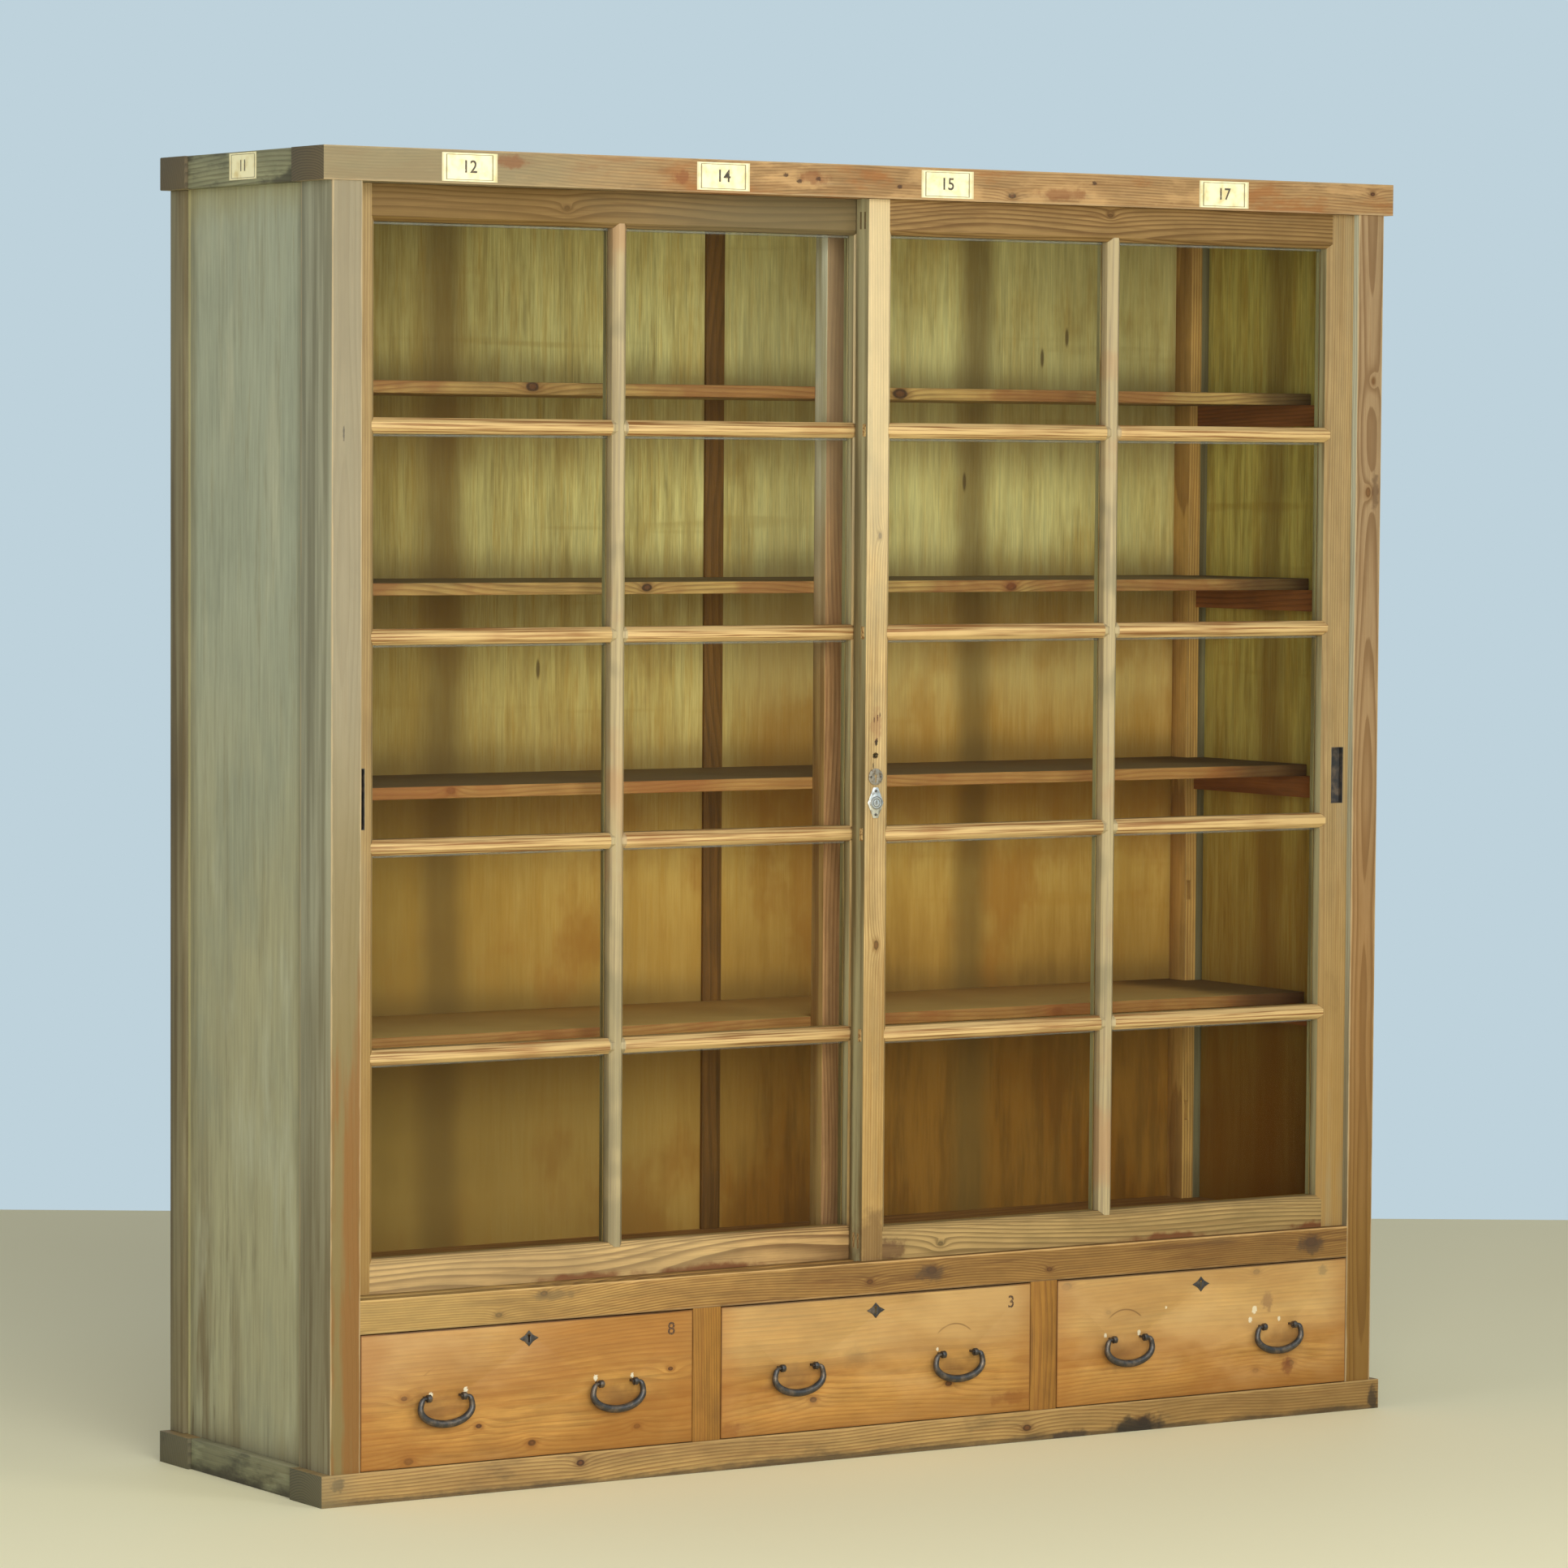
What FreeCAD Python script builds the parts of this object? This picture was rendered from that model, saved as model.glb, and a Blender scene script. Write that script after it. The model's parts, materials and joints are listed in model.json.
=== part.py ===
import FreeCAD, Part
import math
import os

# A free-standing display cabinet of solid softwood: two glazed doors that slide past each other above
# three drawers. Millimetres. +Z is up, +X is to the right seen from the front, and the front faces -Y.
# The origin is on the floor, in the middle of the overall box. Depths are counted back from the front
# faces of the corner posts.

# Carcass
overall_height = 1844.0
body_width = 1790.0
body_depth = 472.0

cornice_height = 46.0
cornice_front_depth = 91.0
cornice_back_depth = 75.0
cornice_side_overhang = 15.0
cornice_front_overhang = 3.0
cornice_back_overhang = 3.0

plinth_height = 44.0
plinth_front_depth = 91.0
plinth_back_depth = 86.0
plinth_side_overhang = 15.0
plinth_front_overhang = 3.0
plinth_back_overhang = 3.0

cross_rail_width = 46.0
cross_rail_setback = 5.0
middle_rail_width = 46.0
rail_tenon_length = 20.0
rail_tenon_height = 18.0
rail_tenon_width = 24.0

front_post_width = 46.0
front_post_depth = 88.0
rear_post_width = 46.0
rear_post_depth = 53.0
post_tenon_length = 26.0
post_tenon_width = 24.0
post_tenon_depth = 18.0
spare_mortise_width = 7.0
spare_mortise_height = 30.0
spare_mortise_depth = 10.0
spare_mortise_levels = (418.0, 763.0)
spare_mortise_inset = 4.0

side_panel_thickness = 4.0
side_panel_recess = 7.0
side_panel_lap = 12.0
back_panel_thickness = 4.0
back_panel_inset = 9.0
back_panel_lap = 12.0
panel_groove_depth = 6.0
back_stile_width = 46.0
inner_batten_width = 32.0
inner_batten_thickness = 6.0

top_board_thickness = 12.0
top_board_lap = 14.0
top_board_count = 6
board_gap = 0.6

# Sill, floor and shelves
drawer_opening_height = 189.5
sill_height = 46.5
sill_tenon_length = 14.0
sill_tenon_depth = 24.0
sill_tenon_height = 26.0
floor_thickness = 15.0
ledger_width = 20.0
ledger_height = 28.0
bay_heights = (342.0, 348.0, 283.0, 280.0)
shelf_thickness = 17.5
shelf_front = 156.0
shelf_end_gap = 1.5
shelf_bearer_width = 20.0
shelf_bearer_height = 32.0
centre_post_width = 36.0
centre_post_depth = 31.0
centre_post_tenon = 10.0

# Sliding doors
track_width = 10.0
sill_track_depth = 4.0
head_track_depth = 14.0
tongue_side_clearance = 0.4
tongue_floor_clearance = 0.3
tongue_head_entry = 8.0
shoulder_clearance = 0.5
door_thickness = 32.0
front_door_recess = 12.0
door_gap = 3.0
door_overlap = 44.0
door_end_clearance = 0.4
outer_stile_width = 46.6
meeting_stile_width = 42.0
door_bottom_rail = 47.5
door_top_rail = 50.5
door_rows = 5
bar_width = 22.0
bar_fin_width = 6.0
bevel = 6.5
glass_depth = 20.5
glass_thickness = 3.0
glass_edge_clearance = 1.0
rebate_width = 8.0
bead_clearance = 0.2
joint_clearance = 0.1
twin_tenon_thickness = 4.7
twin_tenon_setback = 8.0
twin_tenon_pitch = 11.0
twin_tenon_shoulder = 18.0
bar_tenon_thickness = 8.5
bar_tenon_height = 18.0
bar_tenon_setback = 4.6
upright_tenon_length = 16.0

# Finger pulls
pull_length = 84.0
pull_width = 22.0
pull_depth = 10.0
pull_wall = 1.0
pull_rim_radius = 2.0
pull_rise = 67.6

# Door lock
lock_rise = 45.6
lock_barrel_radius = 9.5
lock_barrel_rise = 4.0
lock_plate_width = 27.0
lock_plate_height = 44.0
lock_plate_thickness = 1.5
lock_plate_end_width = 8.0
plug_radius = 5.5
plug_length = 20.0
plug_clearance = 0.08
key_slot_width = 1.6
key_slot_height = 7.0
key_slot_depth = 8.0
door_bolt_size = 6.0
door_bolt_length = 14.0
door_bolt_throw = 10.0
door_bolt_clearance = 0.4
strike_width = 16.0
strike_height = 30.0
strike_thickness = 1.2
old_plate_radius = 12.0
old_plate_thickness = 1.5
old_plate_rise = 37.0
old_hole_radius = 4.3
old_hole_depth = 14.0
old_hole_rise = 67.5

# Drawers
divider_width = 46.0
divider_depth = 40.0
divider_tenon_length = 12.0
divider_tenon_width = 20.0
divider_tenon_depth = 16.0
drawer_side_gap = 1.2
drawer_top_gap = 1.7
drawer_running_gap = 0.3
drawer_rear_gap = 28.0
drawer_front_thickness = 22.0
drawer_front_lap = 14.0
drawer_side_thickness = 12.0
drawer_side_drop = 10.0
drawer_back_thickness = 12.0
drawer_bottom_thickness = 6.0
runner_rise = 1.0
runner_height = 33.0
runner_bearing = 22.0
runner_tenon_length = 10.0
runner_tenon_drop = 12.0
guide_height = 30.0
guide_length = 340.0
drawer_stop_length = 12.0
drawer_stop_height = 9.0

# Drawer hardware; each set was fitted by eye, a little off the middle of its drawer
hardware_offsets = (-1.0, -5.0, -6.0)
bail_spacing = 276.0
bail_level = 140.0
bail_standoff = 12.5
bail_half_width = 41.0
bail_drop = 37.0
bail_belly_height = 23.0
bail_middle_radius = 6.0
bail_shoulder_radius = 4.0
bail_turn_radius = 5.5
bail_flats = 10
bail_pin_radius = 2.2
bail_pin_clearance = 0.08
bail_pin_end = 23.0
eye_spacing = 56.0
eye_radius = 5.5
eye_flats = 8
eye_width = 6.0
eye_shank_width = 4.0
eye_shank_height = 3.0
eye_leg_length = 13.0
eye_leg_thickness = 1.5
escutcheon_width = 31.0
escutcheon_height = 22.5
escutcheon_waist = 0.82
escutcheon_thickness = 1.2
escutcheon_drop = 21.5
keyhole_radius = 2.2
keyhole_rise = 4.0
keyhole_slot_width = 2.4
keyhole_slot_length = 9.5
drawer_lock_width = 44.0
drawer_lock_height = 42.0
drawer_lock_depth = 12.0
drawer_lock_wall = 2.0
drawer_bolt_width = 20.0
drawer_bolt_throw = 7.0
drawer_bolt_height = 24.0
bolt_clearance = 0.5

# Levels and planes worked out from the sizes above
cornice_underside = overall_height - cornice_height
sill_underside = plinth_height + drawer_opening_height
sill_top = sill_underside + sill_height
half_body = body_width / 2
half_opening = half_body - front_post_width
cornice_half = half_body + cornice_side_overhang
plinth_half = half_body + plinth_side_overhang
cornice_front_back = cornice_front_depth - cornice_front_overhang
cornice_back_front = body_depth + cornice_back_overhang - cornice_back_depth
plinth_front_back = plinth_front_depth - plinth_front_overhang
plinth_back_front = body_depth + plinth_back_overhang - plinth_back_depth
cross_rail_inner = cornice_half - cross_rail_setback - cross_rail_width
plinth_rail_inner = plinth_half - cross_rail_setback - cross_rail_width
wall_outer = half_body - side_panel_recess
wall_inner = wall_outer - side_panel_thickness
rear_post_front = body_depth - rear_post_depth
rear_post_inner = half_body - rear_post_width
back_panel_front = body_depth - back_panel_inset - back_panel_thickness
drawer_length = back_panel_front - inner_batten_thickness - drawer_rear_gap
centre_post_front = shelf_front - centre_post_depth
bail_reach = bail_standoff + max(bail_middle_radius, eye_radius)
front_y = (bail_reach - body_depth - max(cornice_back_overhang, plinth_back_overhang)) / 2
overrun = 1.0


def place(x, depth, z):
    """A point at x, this far behind the front plane, and at height z."""
    return FreeCAD.Vector(x, front_y + depth, z)


def block(x0, x1, d0, d1, z0, z1):
    """A squared piece between two widths, two depths and two heights."""
    return Part.makeBox(x1 - x0, d1 - d0, z1 - z0, place(x0, d0, z0))


def centred_block(x, d, z, width, depth, height):
    """A squared piece with its middle at x, d, z."""
    return block(x - width / 2, x + width / 2, d - depth / 2, d + depth / 2, z - height / 2, z + height / 2)


def rod(x, depth, z, radius, length, along):
    """A round rod that starts at this point and runs along a direction."""
    return Part.makeCylinder(radius, length, place(x, depth, z), FreeCAD.Vector(*along))


def prism(points, direction):
    """An outline of three-dimensional points, pushed along a direction."""
    wire = Part.makePolygon(points + [points[0]])
    return Part.Face(wire).extrude(FreeCAD.Vector(*direction))


def mirrored(shape):
    """The same piece on the other side of the cabinet."""
    return shape.mirror(FreeCAD.Vector(0, 0, 0), FreeCAD.Vector(1, 0, 0))


def pair(shape):
    """A right-hand piece and its left-hand twin."""
    return [shape, mirrored(shape)]


def save(name, pieces):
    """Write one node: its separate solids, each one closed."""
    solids = [solid for piece in pieces for solid in piece.Solids]
    Part.makeCompound(solids).exportStep("parts/" + name + ".step")


def grown(x, d, z, width, depth, height, clearance=joint_clearance):
    """The pocket for a tenon of this size, with its fit all round."""
    return centred_block(x, d, z, width + 2 * clearance, depth + 2 * clearance, height + 2 * clearance)


# Tenons that join posts, rails and beams
def post_tenon(x, depth, z, extra=0.0):
    """The stub on a post's end, or with extra its mortise; z is the joint and the stub goes both ways."""
    return centred_block(x, depth, z, post_tenon_width + extra, post_tenon_depth + extra,
                         2 * post_tenon_length + extra)


def cross_rail_tenons(x, front, back, z, extra=0.0):
    """The two stubs at the ends of a rail that runs from front to back."""
    return [centred_block(x, end, z, rail_tenon_width + extra, 2 * rail_tenon_length + extra,
                          rail_tenon_height + extra) for end in (front, back)]


front_post_x = half_body - front_post_width / 2
front_post_d = front_post_depth / 2
rear_post_x = half_body - rear_post_width / 2 - back_panel_lap / 4
rear_post_d = body_depth - rear_post_depth / 2 - 3 * joint_clearance
fit = 2 * joint_clearance
cornice_rail_x = cross_rail_inner + cross_rail_width / 2
plinth_rail_x = plinth_rail_inner + cross_rail_width / 2
cornice_rail_z = overall_height - top_board_thickness - rail_tenon_height / 2 - 4
plinth_rail_z = plinth_height / 2
middle_rail_z = (cornice_underside + overall_height - top_board_thickness) / 2


def post_mortises(z):
    """Mortises for the four corner posts in the beams that meet them at height z."""
    right = [post_tenon(front_post_x, front_post_d, z, fit), post_tenon(rear_post_x, rear_post_d, z, fit)]
    return right + [mirrored(tool) for tool in right]


def side_panel_grooves():
    """Grooves that hold the top, bottom and front edges of both side panels."""
    groove = block(wall_inner - joint_clearance, wall_outer + joint_clearance,
                   front_post_depth - panel_groove_depth - joint_clearance,
                   rear_post_front + side_panel_lap + joint_clearance,
                   plinth_height - panel_groove_depth, cornice_underside + panel_groove_depth)
    return pair(groove)


def back_panel_groove():
    """One slot round the top and bottom edges of the back panels."""
    half = half_body - rear_post_width + back_panel_lap + joint_clearance
    return block(-half, half, back_panel_front - joint_clearance,
                 back_panel_front + back_panel_thickness + joint_clearance,
                 plinth_height - panel_groove_depth, cornice_underside + panel_groove_depth)


# The two door tracks
front_track = front_door_recess + door_thickness / 2
rear_track = front_track + door_thickness + door_gap


def track_grooves(z0, z1):
    """The front and rear door grooves between two heights."""
    return [block(-half_opening, half_opening, d - track_width / 2, d + track_width / 2, z0, z1)
            for d in (front_track, rear_track)]


# Cornice: front and back beams, cross rails between them and loose boards on top
def make_cornice():
    front = block(-cornice_half, cornice_half, -cornice_front_overhang, cornice_front_back,
                  cornice_underside, overall_height)
    back = block(-cornice_half, cornice_half, cornice_back_front, body_depth + cornice_back_overhang,
                 cornice_underside, overall_height)
    board_bed = block(-cross_rail_inner - top_board_lap, cross_rail_inner + top_board_lap,
                      cornice_front_back - top_board_lap, cornice_back_front + top_board_lap,
                      overall_height - top_board_thickness, overall_height + overrun)
    sockets = []
    for x, z in ((cornice_rail_x, cornice_rail_z), (-cornice_rail_x, cornice_rail_z), (0, middle_rail_z)):
        sockets += cross_rail_tenons(x, cornice_front_back, cornice_back_front, z, fit)
    cuts = post_mortises(cornice_underside) + sockets + [board_bed]
    tracks = track_grooves(cornice_underside - overrun, cornice_underside + head_track_depth)
    front = front.cut(cuts + tracks + side_panel_grooves())
    back = back.cut(cuts + side_panel_grooves() + [back_panel_groove()])
    save("cornice_front_rail", [front])
    save("cornice_back_rail", [back])

    side = block(cross_rail_inner, cross_rail_inner + cross_rail_width, cornice_front_back,
                 cornice_back_front, cornice_underside, overall_height)
    side = side.cut([board_bed] + side_panel_grooves())
    side = side.fuse(cross_rail_tenons(cornice_rail_x, cornice_front_back, cornice_back_front,
                                       cornice_rail_z)).removeSplitter()
    middle = block(-middle_rail_width / 2, middle_rail_width / 2, cornice_front_back,
                   cornice_back_front, cornice_underside, overall_height - top_board_thickness)
    middle = middle.fuse(cross_rail_tenons(0, cornice_front_back, cornice_back_front, middle_rail_z))
    middle = middle.removeSplitter().cut(centre_post_tenon_block(cornice_underside, fit))
    save("cornice_cross_rails", pair(side) + [middle])

    left = -cross_rail_inner - top_board_lap
    pitch = 2 * (cross_rail_inner + top_board_lap) / top_board_count
    boards = [block(left + i * pitch + board_gap / 2, left + (i + 1) * pitch - board_gap / 2,
                    cornice_front_back - top_board_lap + board_gap,
                    cornice_back_front + top_board_lap - board_gap,
                    overall_height - top_board_thickness, overall_height)
              for i in range(top_board_count)]
    save("top_boards", boards)


# Plinth: the same frame at the floor, without boards
def make_plinth():
    front = block(-plinth_half, plinth_half, -plinth_front_overhang, plinth_front_back, 0, plinth_height)
    back = block(-plinth_half, plinth_half, plinth_back_front, body_depth + plinth_back_overhang,
                 0, plinth_height)
    sockets = []
    for x in (plinth_rail_x, -plinth_rail_x):
        sockets += cross_rail_tenons(x, plinth_front_back, plinth_back_front, plinth_rail_z, fit)
    cuts = post_mortises(plinth_height) + sockets + runner_ends(fit)
    front = front.cut(cuts + side_panel_grooves() + divider_tenons(plinth_height, fit))
    back = back.cut(cuts + side_panel_grooves() + [back_panel_groove()])
    save("plinth_front_rail", [front])
    save("plinth_back_rail", [back])

    side = block(plinth_rail_inner, plinth_rail_inner + cross_rail_width, plinth_front_back,
                 plinth_back_front, 0, plinth_height)
    side = side.cut(side_panel_grooves())
    side = side.fuse(cross_rail_tenons(plinth_rail_x, plinth_front_back, plinth_back_front,
                                       plinth_rail_z)).removeSplitter()
    save("plinth_side_rails", pair(side))


# Corner posts, panels and back
def make_posts():
    front = block(half_opening, half_body, 0, front_post_depth, plinth_height, cornice_underside)
    front = front.fuse([post_tenon(front_post_x, front_post_d, z) for z in (plinth_height, cornice_underside)])
    sill_socket = centred_block(half_opening, front_post_d, sill_underside + sill_height / 2,
                                2 * sill_tenon_length + fit, sill_tenon_depth + fit, sill_tenon_height + fit)
    front = front.removeSplitter().cut(side_panel_grooves() + [sill_socket])
    save("front_posts", pair(front))

    rear = block(rear_post_inner, half_body, rear_post_front, body_depth, plinth_height, cornice_underside)
    rear = rear.fuse([post_tenon(rear_post_x, rear_post_d, z) for z in (plinth_height, cornice_underside)])
    rear = rear.removeSplitter()
    side_rebate = block(wall_inner, half_body + overrun, rear_post_front - overrun,
                        rear_post_front + side_panel_lap, plinth_height, cornice_underside)
    back_rebate = block(rear_post_inner - overrun, rear_post_inner + back_panel_lap, back_panel_front,
                        body_depth + overrun, plinth_height, cornice_underside)
    spare = [block(rear_post_inner + spare_mortise_inset,
                   rear_post_inner + spare_mortise_inset + spare_mortise_width,
                   rear_post_front - overrun, rear_post_front + spare_mortise_depth,
                   z - spare_mortise_height / 2, z + spare_mortise_height / 2)
             for z in spare_mortise_levels]
    rear = rear.cut([side_rebate, back_rebate] + spare)
    save("rear_posts", pair(rear))


def make_panels():
    top = cornice_underside + panel_groove_depth - overrun
    bottom = plinth_height - panel_groove_depth + overrun
    side = block(wall_inner, wall_outer, front_post_depth - panel_groove_depth + overrun,
                 rear_post_front + side_panel_lap, bottom, top)
    save("side_panels", pair(side))
    back = block(board_gap / 2, rear_post_inner + back_panel_lap - board_gap, back_panel_front,
                 back_panel_front + back_panel_thickness, bottom, top)
    save("back_panels", pair(back))
    outer = block(-back_stile_width / 2, back_stile_width / 2, back_panel_front + back_panel_thickness,
                  body_depth, plinth_height, cornice_underside)
    inner = block(-inner_batten_width / 2, inner_batten_width / 2,
                  back_panel_front - inner_batten_thickness, back_panel_front, sill_top, cornice_underside)
    save("back_battens", [outer, inner])


# Sill with its two door grooves, and the floor behind it
def make_sill_and_floor():
    sill = block(-half_opening, half_opening, 0, front_post_depth, sill_underside, sill_top)
    sill = sill.fuse([centred_block(side * half_opening, front_post_d, sill_underside + sill_height / 2,
                                    2 * sill_tenon_length, sill_tenon_depth, sill_tenon_height)
                      for side in (-1, 1)]).removeSplitter()
    sill = sill.cut(track_grooves(sill_top - sill_track_depth, sill_top + overrun)
                    + divider_tenons(sill_underside, fit) + drawer_bolt_mortises())
    save("door_sill", [sill])

    floor = block(-wall_inner, wall_inner, front_post_depth, back_panel_front, sill_top - floor_thickness,
                  sill_top)
    corners = pair(rear_post_notch(sill_top - floor_thickness, sill_top))
    floor = floor.cut(corners + [centre_post_tenon_block(sill_top, fit)])
    save("display_floor", [floor])

    top = sill_top - floor_thickness
    bottom = top - ledger_height
    front = block(-wall_inner, wall_inner, front_post_depth, front_post_depth + ledger_width, bottom, top)
    back = block(-rear_post_inner, rear_post_inner, back_panel_front - ledger_width, back_panel_front,
                 bottom, top)
    side = block(wall_inner - ledger_width, wall_inner, front_post_depth + ledger_width, rear_post_front,
                 bottom, top)
    save("floor_bearers", [front, back] + pair(side))


def rear_post_notch(z0, z1):
    """The corner that a shelf or the floor leaves free for the right rear post."""
    return block(rear_post_inner - board_gap, wall_inner + overrun, rear_post_front - board_gap,
                 back_panel_front + overrun, z0 - overrun, z1 + overrun)


# Centre post, shelves and the bearers under their ends
def centre_post_tenon_block(z, extra=0.0):
    """The stub at the foot or head of the centre post, or with extra its mortise."""
    return centred_block(0, centre_post_front + centre_post_depth / 2, z, centre_post_width / 2 + extra,
                         centre_post_depth / 2 + extra, 2 * centre_post_tenon + extra)


def make_centre_post():
    post = block(-centre_post_width / 2, centre_post_width / 2, centre_post_front, shelf_front,
                 sill_top, cornice_underside)
    post = post.fuse([centre_post_tenon_block(sill_top), centre_post_tenon_block(cornice_underside)])
    save("centre_post", [post.removeSplitter()])


def shelf_tops():
    """Heights of the four shelves' upper faces, from the lowest up."""
    tops = []
    level = sill_top
    for height in bay_heights:
        level += height
        tops.append(level)
    return tops


def make_shelves():
    shelves = []
    bearers = []
    half = wall_inner - shelf_end_gap
    for top in shelf_tops():
        underside = top - shelf_thickness
        shelf = block(-half, half, shelf_front, back_panel_front, underside, top)
        batten = block(-inner_batten_width / 2 - board_gap, inner_batten_width / 2 + board_gap,
                       back_panel_front - inner_batten_thickness, back_panel_front + overrun,
                       underside - overrun, top + overrun)
        shelves.append(shelf.cut(pair(rear_post_notch(underside, top)) + [batten]))
        bearers += pair(block(wall_inner - shelf_bearer_width, wall_inner, front_post_depth,
                              rear_post_front, underside - shelf_bearer_height, underside))
    save("shelves", shelves)
    save("shelf_bearers", bearers)


# Drawer openings
opening_width = (2 * half_opening - 2 * divider_width) / 3
divider_x = (opening_width + divider_width) / 2
runner_top = plinth_height + runner_rise


def divider_tenons(z, extra=0.0):
    """Stubs of both dividers at the joint height z, or with extra their mortises."""
    return [centred_block(side * divider_x, divider_depth / 2, z, divider_tenon_width + extra,
                          divider_tenon_depth + extra, 2 * divider_tenon_length + extra)
            for side in (-1, 1)]


def runner_widths():
    """Left and right edges of the four runners: one at each wall and one behind each divider."""
    wall = (half_opening - drawer_side_gap - runner_bearing, plinth_rail_inner)
    behind = (divider_x - divider_width / 2 - runner_bearing, divider_x + divider_width / 2 + runner_bearing)
    return [(-wall[1], -wall[0]), (-behind[1], -behind[0]), behind, wall]


def runner_ends(extra=0.0):
    """Tongues at both ends of the runners, or with extra their housings in the plinth beams."""
    return [block(x0 - extra / 2, x1 + extra / 2, plinth_front_back - runner_tenon_length - extra / 2,
                  plinth_back_front + runner_tenon_length + extra / 2,
                  runner_top - runner_height - extra / 2, runner_top - runner_tenon_drop + extra / 2)
            for x0, x1 in runner_widths()]


def make_drawer_carcass():
    dividers = [block(side * divider_x - divider_width / 2, side * divider_x + divider_width / 2,
                      0, divider_depth, plinth_height, sill_underside) for side in (-1, 1)]
    stubs = [divider_tenons(plinth_height), divider_tenons(sill_underside)]
    dividers = [dividers[i].fuse([stubs[0][i], stubs[1][i]]).removeSplitter() for i in range(2)]
    save("drawer_dividers", dividers)

    tongues = runner_ends()
    runners = [block(x0, x1, plinth_front_back, plinth_back_front, runner_top - runner_height, runner_top)
               for x0, x1 in runner_widths()]
    runners = [runners[i].fuse(tongues[i]).removeSplitter() for i in range(len(runners))]
    save("drawer_runners", runners)

    guides = [block(side * divider_x - divider_width / 2, side * divider_x + divider_width / 2,
                    divider_depth, divider_depth + guide_length, runner_top, runner_top + guide_height)
              for side in (-1, 1)]
    guides += pair(block(half_opening, wall_inner, front_post_depth, divider_depth + guide_length,
                         runner_top, runner_top + guide_height))
    stop_front = drawer_length + drawer_running_gap
    stops = [block(x - runner_bearing, x + runner_bearing, stop_front, stop_front + drawer_stop_length,
                   plinth_height, plinth_height + drawer_stop_height)
             for x in drawer_centres()]
    save("drawer_guides", guides + stops)


def drawer_centres():
    """Middles of the three drawer openings, left to right."""
    pitch = opening_width + divider_width
    return [-pitch, 0.0, pitch]


# One drawer: front, lapped sides, back and a bottom board nailed up from below
drawer_bottom_z = runner_top + drawer_running_gap
drawer_top_z = sill_underside - drawer_top_gap
drawer_half = opening_width / 2 - drawer_side_gap


def keyhole(x, z, d0, d1):
    """A round keyhole with its slot, cut from one depth to another."""
    round_part = rod(x, d0, z, keyhole_radius, d1 - d0, (0, 1, 0))
    slot = block(x - keyhole_slot_width / 2, x + keyhole_slot_width / 2, d0, d1,
                 z - keyhole_slot_length, z)
    return round_part.fuse(slot)


def bail_middles(x):
    """The middles of a drawer's two bails."""
    return [x - bail_spacing / 2, x + bail_spacing / 2]


def eye_middles(x):
    """The middles of the four eyes that carry a drawer's two bails."""
    return [middle + side * eye_spacing / 2 for middle in bail_middles(x) for side in (-1, 1)]


def make_drawer(number, x, hardware_x):
    name = "drawer_" + str(number) + "_"
    key_z = drawer_top_z - escutcheon_drop
    side_top = drawer_top_z - drawer_side_drop
    front = block(x - drawer_half, x + drawer_half, 0, drawer_front_thickness, drawer_bottom_z, drawer_top_z)
    laps = [block(x + side * drawer_half - drawer_side_thickness, x + side * drawer_half + drawer_side_thickness,
                  drawer_front_thickness - drawer_front_lap, drawer_front_thickness + overrun,
                  drawer_bottom_z - overrun, side_top) for side in (-1, 1)]
    foot = block(x - drawer_half - overrun, x + drawer_half + overrun,
                 drawer_front_thickness - drawer_front_lap, drawer_front_thickness + overrun,
                 drawer_bottom_z - overrun, drawer_bottom_z + drawer_bottom_thickness)
    shank_holes = [grown(eye_x, drawer_front_thickness / 2, bail_level, eye_shank_width,
                         drawer_front_thickness + 2 * overrun, eye_shank_height)
                   for eye_x in eye_middles(hardware_x)]
    key_way = keyhole(hardware_x, key_z + keyhole_rise, -overrun, drawer_front_thickness + overrun)
    front = front.cut(laps + shank_holes + [foot, key_way])
    save(name + "front", [front])

    box_bottom = drawer_bottom_z + drawer_bottom_thickness
    sides = [block(min(x + side * drawer_half, x + side * (drawer_half - drawer_side_thickness)),
                   max(x + side * drawer_half, x + side * (drawer_half - drawer_side_thickness)),
                   drawer_front_thickness - drawer_front_lap, drawer_length, box_bottom, side_top)
             for side in (-1, 1)]
    back = block(x - drawer_half + drawer_side_thickness, x + drawer_half - drawer_side_thickness,
                 drawer_length - drawer_back_thickness, drawer_length, box_bottom, side_top)
    save(name + "box", sides + [back])
    bottom = block(x - drawer_half, x + drawer_half, drawer_front_thickness - drawer_front_lap,
                   drawer_length, drawer_bottom_z, box_bottom)
    save(name + "bottom", [bottom])

    eyes = [split_eye(eye_x) for eye_x in eye_middles(hardware_x)]
    save(name + "ironwork", eyes + [escutcheon(hardware_x, key_z), lock_case(hardware_x, key_z)])
    save(name + "lock_bolt", [drawer_bolt(hardware_x, 0.0, 0.0)])
    for letter, middle in zip("ab", bail_middles(hardware_x)):
        save(name + "bail_" + letter, [make_bail(middle)])


def escutcheon(x, z):
    """A lozenge of sheet iron round the keyhole, its four sides drawn in a little."""
    points = []
    for i in range(8):
        turn = math.radians(45 * i)
        waist = 1.0 if i % 2 == 0 else escutcheon_waist / math.sqrt(2)
        points.append(place(x + escutcheon_width / 2 * waist * math.cos(turn), -escutcheon_thickness,
                            z + escutcheon_height / 2 * waist * math.sin(turn)))
    plate = prism(points, (0, escutcheon_thickness, 0))
    return plate.cut(keyhole(x, z + keyhole_rise, -escutcheon_thickness - overrun, overrun))


bolt_slot_front = drawer_front_thickness + drawer_lock_wall
bolt_slot_back = drawer_front_thickness + drawer_lock_depth - drawer_lock_wall


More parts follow.
